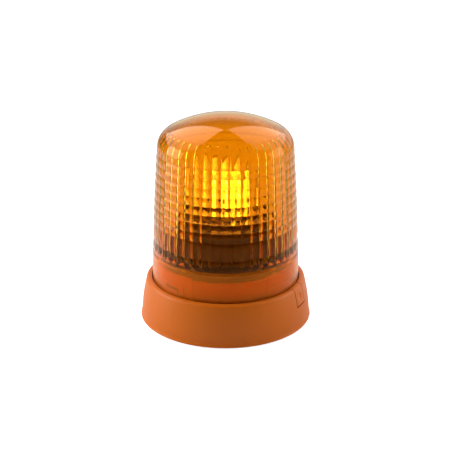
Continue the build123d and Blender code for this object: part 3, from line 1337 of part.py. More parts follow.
def terminal_screw_places():
    """Plan places of the terminal block's fixing screws."""
    x, y = terminal_centre()
    reach = TERMINAL_LENGTH / 2 + TERMINAL_FLANGE / 2
    along_x, along_y = polar(reach, TERMINAL_ANGLE + 90)
    return [(x + side * along_x, y + side * along_y) for side in (-1, 1)]


def terminal_pole_places():
    """Plan places of the terminal block's poles."""
    x, y = terminal_centre()
    pitch = TERMINAL_LENGTH / TERMINAL_POLES
    places = []
    for k in range(TERMINAL_POLES):
        offset = (k - (TERMINAL_POLES - 1) / 2) * pitch
        along_x, along_y = polar(offset, TERMINAL_ANGLE + 90)
        places.append((x + along_x, y + along_y))
    return places


def terminal_block():
    """Terminal block with a fixing flange at each end and a row of wire holes."""
    top = FLOOR_TOP_Z + TERMINAL_HEIGHT
    centre = terminal_centre()
    block = slab(TERMINAL_WIDTH, TERMINAL_LENGTH, FLOOR_TOP_Z, top, centre, TERMINAL_ANGLE)
    flange_length = TERMINAL_LENGTH + 2 * TERMINAL_FLANGE
    flange_top = FLOOR_TOP_Z + TERMINAL_FLANGE_HEIGHT
    block += slab(TERMINAL_WIDTH, flange_length, FLOOR_TOP_Z, flange_top, centre, TERMINAL_ANGLE)
    wire_z = FLOOR_TOP_Z + TERMINAL_HEIGHT / 2
    for place in terminal_pole_places():
        bore = Rot(0, 90, 0) * Cylinder(TERMINAL_WIRE_HOLE_RADIUS, 2 * TERMINAL_WIDTH)
        block -= Pos(place[0], place[1], wire_z) * Rot(0, 0, TERMINAL_ANGLE) * bore
        block -= disc(TERMINAL_SCREW_RADIUS + SCREW_FIT, top - TERMINAL_SCREW_HEIGHT, top, place)
    for place in terminal_screw_places():
        block -= disc(SMALL_SCREW_RADIUS + SCREW_FIT, FLOOR_TOP_Z, flange_top, place)
    return block


def terminal_clamp_screws():
    """Slotted clamp screws of the terminal block."""
    screws = Part()
    top = FLOOR_TOP_Z + TERMINAL_HEIGHT
    for place in terminal_pole_places():
        pole = disc(TERMINAL_SCREW_RADIUS, top - TERMINAL_SCREW_HEIGHT, top, place)
        slot = slab(4 * TERMINAL_SCREW_RADIUS, SCREW_SLOT_WIDTH, top - SCREW_SLOT_DEPTH, top, place)
        screws += pole - slot
    return screws


def terminal_fixing_screws():
    """Two screws that hold the terminal block to the floor."""
    screws = Part()
    seat = FLOOR_TOP_Z + TERMINAL_FLANGE_HEIGHT
    depth = TERMINAL_FLANGE_HEIGHT + FLOOR_THICKNESS / 2
    for place in terminal_screw_places():
        screws += small_screw(seat, depth, place)
    return screws


PIECES = {
    "base_housing": base_housing,
    "bayonet_ring": bayonet_ring,
    "base_mat": base_mat,
    "mounting_inserts": mounting_inserts,
    "cable_grommet": cable_grommet,
    "lens_dome": lens_dome,
    "lens_seal": lens_seal,
    "lock_tab": lock_tab,
    "lock_tab_pin": tab_pin,
    "chassis_plate": chassis_plate,
    "chassis_screws": chassis_screws,
    "lamp_post": lamp_post,
    "lamp_post_screws": post_screws,
    "thrust_washer": thrust_washer,
    "retaining_ring": retaining_ring,
    "drive_gear": drive_gear,
    "drive_gear_screws": gear_screws,
    "reflector_carrier": reflector_carrier,
    "lower_bush": lambda: spindle_bush(HUB_BOTTOM_Z),
    "upper_bush": lambda: spindle_bush(HUB_TOP_Z - BUSH_LENGTH),
    "reflector": reflector,
    "reflector_screws": reflector_screws,
    "lamp_holder": lamp_holder,
    "lamp_clip": lamp_clip,
    "lamp_clip_screws": clip_screws,
    "lamp_base": lamp_base,
    "lamp_glass": lamp_glass,
    "lamp_filament": lamp_filament,
    "lamp_connector": lamp_connector,
    "motor_can": motor_can,
    "motor_end_cap": motor_end_cap,
    "motor_screws": motor_screws,
    "motor_shaft": motor_shaft,
    "motor_pinion": motor_pinion,
    "control_board": control_board,
    "board_screws": board_screws,
    "suppression_capacitor": suppression_capacitor,
    "suppression_choke": suppression_choke,
    "terminal_block": terminal_block,
    "terminal_clamp_screws": terminal_clamp_screws,
    "terminal_fixing_screws": terminal_fixing_screws,
}


def main():
    """Builds every piece and writes one file for each."""
    os.makedirs("parts", exist_ok=True)
    for name, build in PIECES.items():
        export_step(build(), f"parts/{name}.step")


main()
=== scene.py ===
import logging
import math
from dataclasses import dataclass, field
from enum import Enum
from typing import Sequence

import bmesh
import bpy
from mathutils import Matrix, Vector


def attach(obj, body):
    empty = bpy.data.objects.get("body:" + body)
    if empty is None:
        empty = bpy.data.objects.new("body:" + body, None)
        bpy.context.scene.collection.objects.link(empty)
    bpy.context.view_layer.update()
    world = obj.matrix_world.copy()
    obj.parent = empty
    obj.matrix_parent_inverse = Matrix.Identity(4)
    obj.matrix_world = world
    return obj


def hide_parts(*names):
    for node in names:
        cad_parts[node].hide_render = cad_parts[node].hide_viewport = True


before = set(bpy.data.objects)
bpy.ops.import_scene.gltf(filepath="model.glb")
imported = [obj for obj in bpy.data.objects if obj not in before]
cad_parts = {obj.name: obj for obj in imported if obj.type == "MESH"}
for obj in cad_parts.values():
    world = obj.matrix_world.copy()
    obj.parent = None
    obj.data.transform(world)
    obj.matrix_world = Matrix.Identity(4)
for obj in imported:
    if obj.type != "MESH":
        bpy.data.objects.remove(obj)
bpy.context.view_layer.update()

MILLIMETRE = 0.001
LOG = logging.getLogger("beacon")

WHITE = "#FFFFFF"
LEAST_ROUGHNESS = 0.02
# Height of the dish's focus, where the lamp's filament sits, in millimetres.
FOCUS_Z = 124.0
# Plan angle of a camera at azimuth zero, which stands on the minus Y side, in degrees.
ZERO_AZIMUTH = -90.0

# Sockets of Blender's Mix node, which has one set for plain values and one for colours.
VALUE_A, VALUE_B, VALUE_OUT = 2, 3, 0
COLOUR_A, COLOUR_B, COLOUR_OUT = 6, 7, 2

# The sRGB curve: a straight foot, then a power.
SRGB_FOOT_END = 0.04045
SRGB_FOOT_SLOPE = 12.92
SRGB_OFFSET = 0.055
SRGB_POWER = 2.4

Point = tuple[float, float, float]
ProfilePoint = tuple[float, float]
Grid = Sequence[Sequence[Vector]]


# Colours and node helpers

def linear_colour(hex_colour: str, alpha: float = 1.0) -> tuple[float, float, float, float]:
    """Turns an sRGB hex colour into the linear values that a shader takes.

    Args:
        hex_colour: Six hex digits with a leading hash mark.
        alpha: The fourth value.

    Returns:
        Linear red, green and blue, and alpha.
    """
    shares = [int(hex_colour[k:k + 2], 16) / 255 for k in (1, 3, 5)]
    linear = [
        s / SRGB_FOOT_SLOPE if s <= SRGB_FOOT_END else ((s + SRGB_OFFSET) / (1 + SRGB_OFFSET)) ** SRGB_POWER
        for s in shares
    ]
    return linear[0], linear[1], linear[2], alpha


def add_node(
    tree: bpy.types.NodeTree,
    kind: str,
    settings: dict[str, object] | None = None,
    inputs: dict[str | int, object] | None = None,
) -> bpy.types.Node:
    """Adds one shader node with its settings, socket values and links.

    Args:
        tree: The node tree that gets the node.
        kind: Blender's name of the node's type.
        settings: Attributes of the node itself.
        inputs: Value, or output socket to link from, for each named or numbered input.

    Returns:
        The new node.
    """
    node = tree.nodes.new(kind)
    for name, value in (settings or {}).items():
        setattr(node, name, value)
    for name, value in (inputs or {}).items():
        if isinstance(value, bpy.types.NodeSocket):
            tree.links.new(value, node.inputs[name])
        else:
            node.inputs[name].default_value = value
    return node


@dataclass(frozen=True)
class Texture:
    """How a surface is broken up: a noise in real millimetres that drives bump, roughness and tone."""

    grain_mm: float
    bump_mm: float
    roughness_spread: float
    tone_spread: float
    detail: float = 3.0
    stretch: Point = (1.0, 1.0, 1.0)


@dataclass(frozen=True)
class NamedFinish:
    """A finish that becomes one material, shared by every piece that has it."""

    name: str

    def material(self) -> bpy.types.Material:
        """Builds the material once and hands out the same one after that.

        Returns:
            The finish's material.
        """
        found = bpy.data.materials.get(self.name)
        if found is not None:
            return found
        material = bpy.data.materials.new(self.name)
        material.use_nodes = True
        self.wire(material.node_tree, material.node_tree.nodes["Principled BSDF"])
        return material

    def wire(self, tree: bpy.types.NodeTree, shader: bpy.types.Node) -> None:
        """Sets and wires the shader; each kind of finish has its own.

        Args:
            tree: The material's node tree.
            shader: Its Principled shader.
        """
        raise NotImplementedError


@dataclass(frozen=True)
class Finish(NamedFinish):
    """One opaque or metallic surface finish, made from a colour, typical shader values and a texture."""

    colour: str
    roughness: float
    texture: Texture
    metallic: float = 0.0
    ior: float | None = None
    specular: float = 0.5
    coat: float = 0.0
    coat_roughness: float = 0.1
    subsurface: float = 0.0
    subsurface_reach: Point = (1.0, 0.35, 0.1)
    subsurface_mm: float = 2.0
    # The crevice fields paint shade into narrow gaps: how far the occlusion node looks, and how dark the gaps
    # get.
    crevice_shade_mm: float = 0.0
    crevice_shade_tone: float = 0.12
    crevice_shut: float = 0.25
    crevice_open: float = 0.8
    crevice_samples: int = 8

    def wire(self, tree: bpy.types.NodeTree, shader: bpy.types.Node) -> None:
        """Sets the shader's plain values and wires the texture.

        Args:
            tree: The material's node tree.
            shader: Its Principled shader.
        """
        shader.inputs["Metallic"].default_value = self.metallic
        shader.inputs["Specular IOR Level"].default_value = self.specular
        shader.inputs["Coat Weight"].default_value = self.coat
        shader.inputs["Coat Roughness"].default_value = self.coat_roughness
        if self.ior is not None:
            shader.inputs["IOR"].default_value = self.ior
        if self.subsurface:
            shader.inputs["Subsurface Weight"].default_value = self.subsurface
            shader.inputs["Subsurface Radius"].default_value = self.subsurface_reach
            shader.inputs["Subsurface Scale"].default_value = self.subsurface_mm * MILLIMETRE
        self.wire_texture(tree, shader)

    def wire_texture(self, tree: bpy.types.NodeTree, shader: bpy.types.Node) -> None:
        """Wires the texture into the shader's colour, roughness and normal.

        Args:
            tree: The material's node tree.
            shader: Its Principled shader.
        """
        texture = self.texture
        place = add_node(tree, "ShaderNodeTexCoord")
        scaled = add_node(
            tree,
            "ShaderNodeMapping",
            inputs={"Vector": place.outputs["Object"], "Scale": texture.stretch},
        )
        noise = add_node(
            tree,
            "ShaderNodeTexNoise",
            inputs={
                "Vector": scaled.outputs["Vector"],
                "Scale": 1.0 / (texture.grain_mm * MILLIMETRE),
                "Detail": texture.detail,
            },
        )
        red, green, blue, _ = linear_colour(self.colour)
        low, high = 1.0 - texture.tone_spread, 1.0 + texture.tone_spread
        tone = add_node(
            tree,
            "ShaderNodeMix",
            {"data_type": "RGBA"},
            {
                "Factor": noise.outputs["Fac"],
                COLOUR_A: (red * low, green * low, blue * low, 1.0),
                COLOUR_B: (min(red * high, 1.0), min(green * high, 1.0), min(blue * high, 1.0), 1.0),
            },
        )
        rough = add_node(
            tree,
            "ShaderNodeMapRange",
            inputs={
                "Value": noise.outputs["Fac"],
                "To Min": max(self.roughness - texture.roughness_spread, LEAST_ROUGHNESS),
                "To Max": min(self.roughness + texture.roughness_spread, 1.0),
            },
        )
        bump = add_node(
            tree,
            "ShaderNodeBump",
            inputs={
                "Height": noise.outputs["Fac"],
                "Strength": 1.0,
                "Distance": texture.bump_mm * MILLIMETRE,
            },
        )
        colour = tone.outputs[COLOUR_OUT]
        # Narrow gaps get painted shade from an occlusion node.
        if self.crevice_shade_mm:
            colour = self.paint_crevice_shade(tree, colour)
        tree.links.new(colour, shader.inputs["Base Color"])
        tree.links.new(rough.outputs["Result"], shader.inputs["Roughness"])
        tree.links.new(bump.outputs["Normal"], shader.inputs["Normal"])

    def paint_crevice_shade(
        self, tree: bpy.types.NodeTree, colour: bpy.types.NodeSocket
    ) -> bpy.types.NodeSocket:
        """Paints shade into narrow gaps: darkens the colour where an occlusion node finds surfaces close by.

        Args:
            tree: The material's node tree.
            colour: The colour of the open faces.

        Returns:
            The colour with the gaps darkened.
        """
        shade = add_node(
            tree,
            "ShaderNodeAmbientOcclusion",
            {"samples": self.crevice_samples},
            {"Distance": self.crevice_shade_mm * MILLIMETRE},
        )
        share = add_node(
            tree,
            "ShaderNodeMapRange",
            inputs={
                "Value": shade.outputs["AO"],
                "From Min": self.crevice_shut,
                "From Max": self.crevice_open,
                "To Min": self.crevice_shade_tone,
                "To Max": 1.0,
            },
        )
        mixed = add_node(
            tree,
            "ShaderNodeMix",
            {"data_type": "RGBA", "blend_type": "MULTIPLY"},
            {"Factor": 1.0, COLOUR_A: colour, COLOUR_B: share.outputs["Result"]},
        )
        return mixed.outputs[COLOUR_OUT]


@dataclass(frozen=True)
class Frosting:
    """The matt lower zone of a clear moulding, where the tool is spark-eroded and the wall scatters light."""

    below_mm: float
    blend_mm: float
    roughness: float
    colour: str
    transmission: float


@dataclass(frozen=True)
class ClearFinish(NamedFinish):
    """A clear, tinted or glowing finish: light passes through it with a slight surface waviness."""

    colour: str
    ior: float
    roughness: float
    wave_mm: float
    wave_height_mm: float
    glow: str | None = None
    glow_strength: float = 0.0
    frosting: Frosting | None = None
    specular: float = 0.5
    sheen_tint: str = WHITE
    roughness_share: float = 0.4
    wave_detail: float = 2.0

    def wire(self, tree: bpy.types.NodeTree, shader: bpy.types.Node) -> None:
        """Sets the shader's plain values and wires the waviness and any matt zone.

        Args:
            tree: The material's node tree.
            shader: Its Principled shader.
        """
        shader.inputs["Base Color"].default_value = linear_colour(self.colour)
        shader.inputs["Transmission Weight"].default_value = 1.0
        shader.inputs["IOR"].default_value = self.ior
        shader.inputs["Specular IOR Level"].default_value = self.specular
        shader.inputs["Specular Tint"].default_value = linear_colour(self.sheen_tint)
        if self.glow is not None:
            shader.inputs["Emission Color"].default_value = linear_colour(self.glow)
            shader.inputs["Emission Strength"].default_value = self.glow_strength
        place = add_node(tree, "ShaderNodeTexCoord")
        noise = add_node(
            tree,
            "ShaderNodeTexNoise",
            inputs={
                "Vector": place.outputs["Object"],
                "Scale": 1.0 / (self.wave_mm * MILLIMETRE),
                "Detail": self.wave_detail,
            },
        )
        rough = add_node(
            tree,
            "ShaderNodeMapRange",
            inputs={
                "Value": noise.outputs["Fac"],
                "To Min": self.roughness * (1 - self.roughness_share),
                "To Max": self.roughness * (1 + self.roughness_share),
            },
        )
        bump = add_node(
            tree,
            "ShaderNodeBump",
            inputs={
                "Height": noise.outputs["Fac"],
                "Strength": 1.0,
                "Distance": self.wave_height_mm * MILLIMETRE,
            },
        )
        tree.links.new(rough.outputs["Result"], shader.inputs["Roughness"])
        tree.links.new(bump.outputs["Normal"], shader.inputs["Normal"])
        if self.frosting is not None:
            self.wire_frosting(tree, place, shader, rough.outputs["Result"])

    def wire_frosting(
        self,
        tree: bpy.types.NodeTree,
        place: bpy.types.Node,
        shader: bpy.types.Node,
        polished: bpy.types.NodeSocket,
    ) -> None:
        """Makes the moulding matt and milky below a height.

        Args:
            tree: The material's node tree.
            place: Its coordinate node.
            shader: Its Principled shader.
            polished: The roughness of the polished part.
        """
        frosting = self.frosting
        height = add_node(tree, "ShaderNodeSeparateXYZ", inputs={"Vector": place.outputs["Object"]})
        matt = add_node(
            tree,
            "ShaderNodeMapRange",
            inputs={
                "Value": height.outputs["Z"],
                "From Min": (frosting.below_mm - frosting.blend_mm) * MILLIMETRE,
                "From Max": frosting.below_mm * MILLIMETRE,
                "To Min": 1.0,
                "To Max": 0.0,
            },
        )
        zone = matt.outputs["Result"]
        roughness = add_node(
            tree,
            "ShaderNodeMix",
            {"data_type": "FLOAT"},
            {"Factor": zone, VALUE_A: polished, VALUE_B: frosting.roughness},
        )
        clearness = add_node(
            tree,
            "ShaderNodeMix",
            {"data_type": "FLOAT"},
            {"Factor": zone, VALUE_A: 1.0, VALUE_B: frosting.transmission},
        )
        colour = add_node(
            tree,
            "ShaderNodeMix",
            {"data_type": "RGBA"},
            {"Factor": zone, COLOUR_A: linear_colour(self.colour), COLOUR_B: linear_colour(frosting.colour)},
        )
        tree.links.new(roughness.outputs[VALUE_OUT], shader.inputs["Roughness"])
        tree.links.new(clearness.outputs[VALUE_OUT], shader.inputs["Transmission Weight"])
        tree.links.new(colour.outputs[COLOUR_OUT], shader.inputs["Base Color"])


@dataclass(frozen=True)
class GlowFinish(NamedFinish):
    """Glowing tungsten: a hot body whose brightness varies a little along the coil."""

    name: str = "glowing_tungsten"
    metal: str = "#8A8078"
    glow: str = "#FFD9A0"
    roughness: float = 0.5
    strength: float = 110.0
    strength_share: float = 0.2
    grain_mm: float = 0.4

    def wire(self, tree: bpy.types.NodeTree, shader: bpy.types.Node) -> None:
        """Sets the metal and wires its uneven glow.

        Args:
            tree: The material's node tree.
            shader: Its Principled shader.
        """
        shader.inputs["Base Color"].default_value = linear_colour(self.metal)
        shader.inputs["Roughness"].default_value = self.roughness
        place = add_node(tree, "ShaderNodeTexCoord")
        noise = add_node(
            tree,
            "ShaderNodeTexNoise",
            inputs={"Vector": place.outputs["Object"], "Scale": 1.0 / (self.grain_mm * MILLIMETRE)},
        )
        heat = add_node(
            tree,
            "ShaderNodeMapRange",
            inputs={
                "Value": noise.outputs["Fac"],
                "To Min": self.strength * (1 - self.strength_share),
                "To Max": self.strength * (1 + self.strength_share),
            },
        )
        shader.inputs["Emission Color"].default_value = linear_colour(self.glow)
        tree.links.new(heat.outputs["Result"], shader.inputs["Emission Strength"])


@dataclass(frozen=True)
class BackdropPaper(NamedFinish):
    """Matt paper in the shader's own light grey: it looks white to the eye and still holds a shadow."""

    name: str = "studio_floor_paper"
    roughness: float = 0.9
    specular: float = 0.1
    near_metres: float = 0.3
    far_metres: float = 1.6
    near_glow: float = 0.7
    far_glow: float = 1.0

    def wire(self, tree: bpy.types.NodeTree, shader: bpy.types.Node) -> None:
        """Sets the paper, and its glow for the eye alone, which grows with the distance from the object.

        Args:
            tree: The material's node tree.
            shader: Its Principled shader.
        """
        shader.inputs["Roughness"].default_value = self.roughness
        shader.inputs["Specular IOR Level"].default_value = self.specular
        rays = add_node(tree, "ShaderNodeLightPath")
        direct = add_node(
            tree,
            "ShaderNodeMath",
            {"operation": "MAXIMUM"},
            {0: rays.outputs["Is Camera Ray"], 1: rays.outputs["Is Transmission Ray"]},
        )
        place = add_node(tree, "ShaderNodeTexCoord")
        reach = add_node(tree, "ShaderNodeVectorMath", {"operation": "LENGTH"}, {0: place.outputs["Object"]})
        level = add_node(
            tree,
            "ShaderNodeMapRange",
            inputs={
                "Value": reach.outputs["Value"],
                "From Min": self.near_metres,
                "From Max": self.far_metres,
                "To Min": self.near_glow,
                "To Max": self.far_glow,
            },
        )
        glow = add_node(
            tree,
            "ShaderNodeMath",
            {"operation": "MULTIPLY"},
            {0: direct.outputs["Value"], 1: level.outputs["Result"]},
        )
        shader.inputs["Emission Color"].default_value = linear_colour(WHITE)
        tree.links.new(glow.outputs["Value"], shader.inputs["Emission Strength"])


# Finishes, each named for its real material

# Injection-moulded ABS with a fine spark-eroded texture: satin, with a soft edge to every highlight.
# Its narrow gaps get painted shade: an occlusion node darkens the colour there.
MOULDED_ABS = Finish(
    "orange_moulded_abs",
    "#D96C10",
    roughness=0.38,
    texture=Texture(grain_mm=0.9, bump_mm=0.012, roughness_spread=0.05, tone_spread=0.02),
    ior=1.5,
    specular=0.25,
    crevice_shade_mm=2.0,
)
# The same ABS painted a brighter, clearer orange for the ring that shows through the lens's collar: painted
# light, so the ring looks lit through the amber.
PAINTED_LIGHT_ABS = Finish(
    "painted_light_orange_abs",
    "#FF7E1E",
    roughness=0.5,
    texture=Texture(grain_mm=1.2, bump_mm=0.01, roughness_spread=0.05, tone_spread=0.03),
    ior=1.5,
    specular=0.2,
)
# Clear amber polycarbonate from a polished mould: sharp highlights with an amber cast,
# a deep orange where two walls lie one behind the other, and a matt, milkier collar.
AMBER_POLYCARBONATE = ClearFinish(
    "amber_polycarbonate",
    "#E2A628",
    ior=1.5,
    roughness=0.03,
    wave_mm=9.0,
    wave_height_mm=0.01,
    frosting=Frosting(below_mm=68.5, blend_mm=1.5, roughness=0.1, colour="#FF9A24", transmission=0.76),
    specular=0.2,
    sheen_tint="#FFA95C",
)
# Drawn quartz of the lamp's envelope: clear, with a faint warm glow while the lamp burns.
QUARTZ = ClearFinish(
    "lit_quartz",
    WHITE,
    ior=1.46,
    roughness=0.02,
    wave_mm=3.0,
    wave_height_mm=0.002,
    glow="#FFC46A",
    glow_strength=1.0,
)
# Tungsten coil at working heat.
TUNGSTEN = GlowFinish()
# Glass-filled nylon, moulded: satin, nearly black with a warm brown cast, and a faint fibre bloom.
BLACK_NYLON = Finish(
    "black_glass_filled_nylon",
    "#240A05",
    roughness=0.5,
    texture=Texture(grain_mm=1.2, bump_mm=0.01, roughness_spread=0.08, tone_spread=0.15),
    ior=1.5,
    specular=0.25,
)
# Aluminium vapour-coated on lacquered plastic: a soft mirror that spreads the lamp's light over the dish.
METALLISED_COAT = Finish(
    "vapour_metallised_coat",
    "#E6E4DE",
    roughness=0.5,
    texture=Texture(grain_mm=6.0, bump_mm=0.01, roughness_spread=0.02, tone_spread=0.01),
    metallic=1.0,
)
# Cast nitrile rubber: matt black with a fine dry bloom.
NITRILE_RUBBER = Finish(
    "nitrile_rubber",
    "#1B1A19",
    roughness=0.85,
    texture=Texture(grain_mm=0.6, bump_mm=0.03, roughness_spread=0.06, tone_spread=0.2),
    ior=1.52,
)
# Bright zinc plate on steel: cool grey, faintly clouded.
ZINC_PLATE = Finish(
    "zinc_plated_steel",
    "#C9C9C4",
    roughness=0.32,
    texture=Texture(grain_mm=2.5, bump_mm=0.006, roughness_spread=0.08, tone_spread=0.06),
    metallic=1.0,
)
# Free-cutting brass, turned: warm yellow with fine rings round its axis.
TURNED_BRASS = Finish(
    "turned_brass",
    "#D6B25E",
    roughness=0.28,
    texture=Texture(
        grain_mm=0.5,
        bump_mm=0.008,
        roughness_spread=0.06,
        tone_spread=0.05,
        stretch=(0.1, 0.1, 4.0),
    ),
    metallic=1.0,
)
# Sintered bronze: brown-gold and slightly porous.
SINTERED_BRONZE = Finish(
    "sintered_bronze",
    "#A9793F",
    roughness=0.48,
    texture=Texture(grain_mm=0.4, bump_mm=0.03, roughness_spread=0.1, tone_spread=0.12),
    metallic=1.0,
)
# Natural acetal, cut or moulded: waxy off-white.
WHITE_ACETAL = Finish(
    "natural_acetal",
    "#E9E6DC",
    roughness=0.38,
    texture=Texture(grain_mm=1.5, bump_mm=0.006, roughness_spread=0.05, tone_spread=0.02),
    ior=1.48,
    subsurface=0.2,
)
# Grey polyamide terminal block, moulded: dull satin.
GREY_POLYAMIDE = Finish(
    "grey_polyamide",
    "#9A9C9C",
    roughness=0.5,
    texture=Texture(grain_mm=1.0, bump_mm=0.01, roughness_spread=0.06, tone_spread=0.04),
    ior=1.53,
)
# Glass-epoxy laminate under green solder mask: glossy, with the weave just showing.
SOLDER_MASK = Finish(
    "solder_masked_laminate",
    "#1F5A35",
    roughness=0.25,
    texture=Texture(grain_mm=0.8, bump_mm=0.01, roughness_spread=0.05, tone_spread=0.1),
    ior=1.5,
    coat=0.4,
)
# Polyester shrink sleeve of the capacitor: glossy dark blue.
POLYESTER_SLEEVE = Finish(
    "blue_polyester_sleeve",
    "#1E3F7A",
    roughness=0.22,
    texture=Texture(grain_mm=3.0, bump_mm=0.01, roughness_spread=0.04, tone_spread=0.05),
    ior=1.57,
)
# Pressed ferrite: dark grey and matt, like fine stone.
PRESSED_FERRITE = Finish(
    "pressed_ferrite",
    "#3A3B3D",
    roughness=0.7,
    texture=Texture(grain_mm=0.5, bump_mm=0.03, roughness_spread=0.08, tone_spread=0.15),
    ior=1.8,
)

NODE_FINISHES: dict[Finish, tuple[str, ...]] = {
    MOULDED_ABS: ("base_housing", "lock_tab"),
    # The bayonet ring's orange is painted light, brighter than the base's own ABS.
    PAINTED_LIGHT_ABS: ("bayonet_ring",),
    NITRILE_RUBBER: ("base_mat", "lens_seal", "cable_grommet"),
    TURNED_BRASS: ("mounting_inserts", "motor_pinion"),
    BLACK_NYLON: (
        "chassis_plate",
        "reflector_carrier",
        "motor_end_cap",
        "lamp_holder",
        "lamp_connector",
    ),
    GREY_POLYAMIDE: ("terminal_block",),
    WHITE_ACETAL: ("drive_gear", "thrust_washer"),
    SINTERED_BRONZE: ("lower_bush", "upper_bush"),
    ZINC_PLATE: (
        "lamp_base",
        "lamp_clip",
        "lamp_clip_screws",
        "lamp_post",
        "lamp_post_screws",
        "chassis_screws",
        "retaining_ring",
        "lock_tab_pin",
        "drive_gear_screws",
        "reflector_screws",
        "motor_can",
        "motor_screws",
        "motor_shaft",
        "board_screws",
        "terminal_clamp_screws",
        "terminal_fixing_screws",
    ),
    SOLDER_MASK: ("control_board",),
    POLYESTER_SLEEVE: ("suppression_capacitor",),
    PRESSED_FERRITE: ("suppression_choke",),
    METALLISED_COAT: ("reflector",),
}


# Mesh helpers

def set_finish(piece: bpy.types.Object, material: bpy.types.Material) -> None:
    """Gives a piece one material in every slot.

    Args:
        piece: The object to dress.
        material: Its finish.
    """
    if not piece.material_slots:
        piece.data.materials.append(material)
    for slot in piece.material_slots:
        slot.material = material


def object_from_bmesh(name: str, form: bmesh.types.BMesh, smooth: bool = True) -> bpy.types.Object:
    """Turns a bmesh into a linked object with outward normals.

    Args:
        name: The piece's name.
        form: The mesh under construction, freed here.
        smooth: Whether its faces are shaded smooth.

    Returns:
        The new object.
    """
    bmesh.ops.recalc_face_normals(form, faces=form.faces[:])
    mesh = bpy.data.meshes.new(name)
    form.to_mesh(mesh)
    form.free()
    for polygon in mesh.polygons:
        polygon.use_smooth = smooth
    piece = bpy.data.objects.new(name, mesh)
    bpy.context.scene.collection.objects.link(piece)
    return piece


def ring_grid(form: bmesh.types.BMesh, rows: Grid) -> None:
    """Adds a grid of faces whose rows are closed rings.

    Args:
        form: The mesh that gets the faces.
        rows: Rings of equal length; a ring of one point is an apex.
    """
    made = [[form.verts.new(point) for point in row] for row in rows]
    for low, high in zip(made, made[1:]):
        count = max(len(low), len(high))
        for k in range(count):
            following = (k + 1) % count
            if len(low) == 1:
                form.faces.new((low[0], high[following], high[k]))
            elif len(high) == 1:
                form.faces.new((low[k], low[following], high[0]))
            else:
                form.faces.new((low[k], low[following], high[following], high[k]))


# The lens

@dataclass(frozen=True)
class Circle:
    """A circle in the profile plane, in millimetres."""

    r: float
    z: float
    radius: float

    @staticmethod
    def through(first: ProfilePoint, second: ProfilePoint, third: ProfilePoint) -> "Circle":
        """The circle through three profile points.

        Args:
            first: Radius and height of a point.
            second: Radius and height of a point.
            third: Radius and height of a point.

        Returns:
            The circle.
        """
        (ax, ay), (bx, by), (cx, cy) = first, second, third
        scale = 2 * (ax * (by - cy) + bx * (cy - ay) + cx * (ay - by))
        a2, b2, c2 = ax * ax + ay * ay, bx * bx + by * by, cx * cx + cy * cy
        r = (a2 * (by - cy) + b2 * (cy - ay) + c2 * (ay - by)) / scale
        z = (a2 * (cx - bx) + b2 * (ax - cx) + c2 * (bx - ax)) / scale
        return Circle(r, z, math.hypot(ax - r, ay - z))


@dataclass(frozen=True)
class Station:
    """One stop along the lens's profile: a point, its outward normal and the way covered so far."""

    r: float
    z: float
    normal_r: float
    normal_z: float
    run: float

    def at(self, inset: float, angle: float) -> Vector:
        """The point under this station at a plan angle.

        Args:
            inset: Depth below the outer form, in millimetres.
            angle: Plan angle in radians.

        Returns:
            The point in metres.
        """
        r = (self.r - self.normal_r * inset) * MILLIMETRE
        z = (self.z - self.normal_z * inset) * MILLIMETRE
        return Vector((r * math.cos(angle), r * math.sin(angle), z))


class Side(Enum):
    """Which face of the lens's wall a row of points belongs to."""

    OUTER = "outer"
    INNER = "inner"


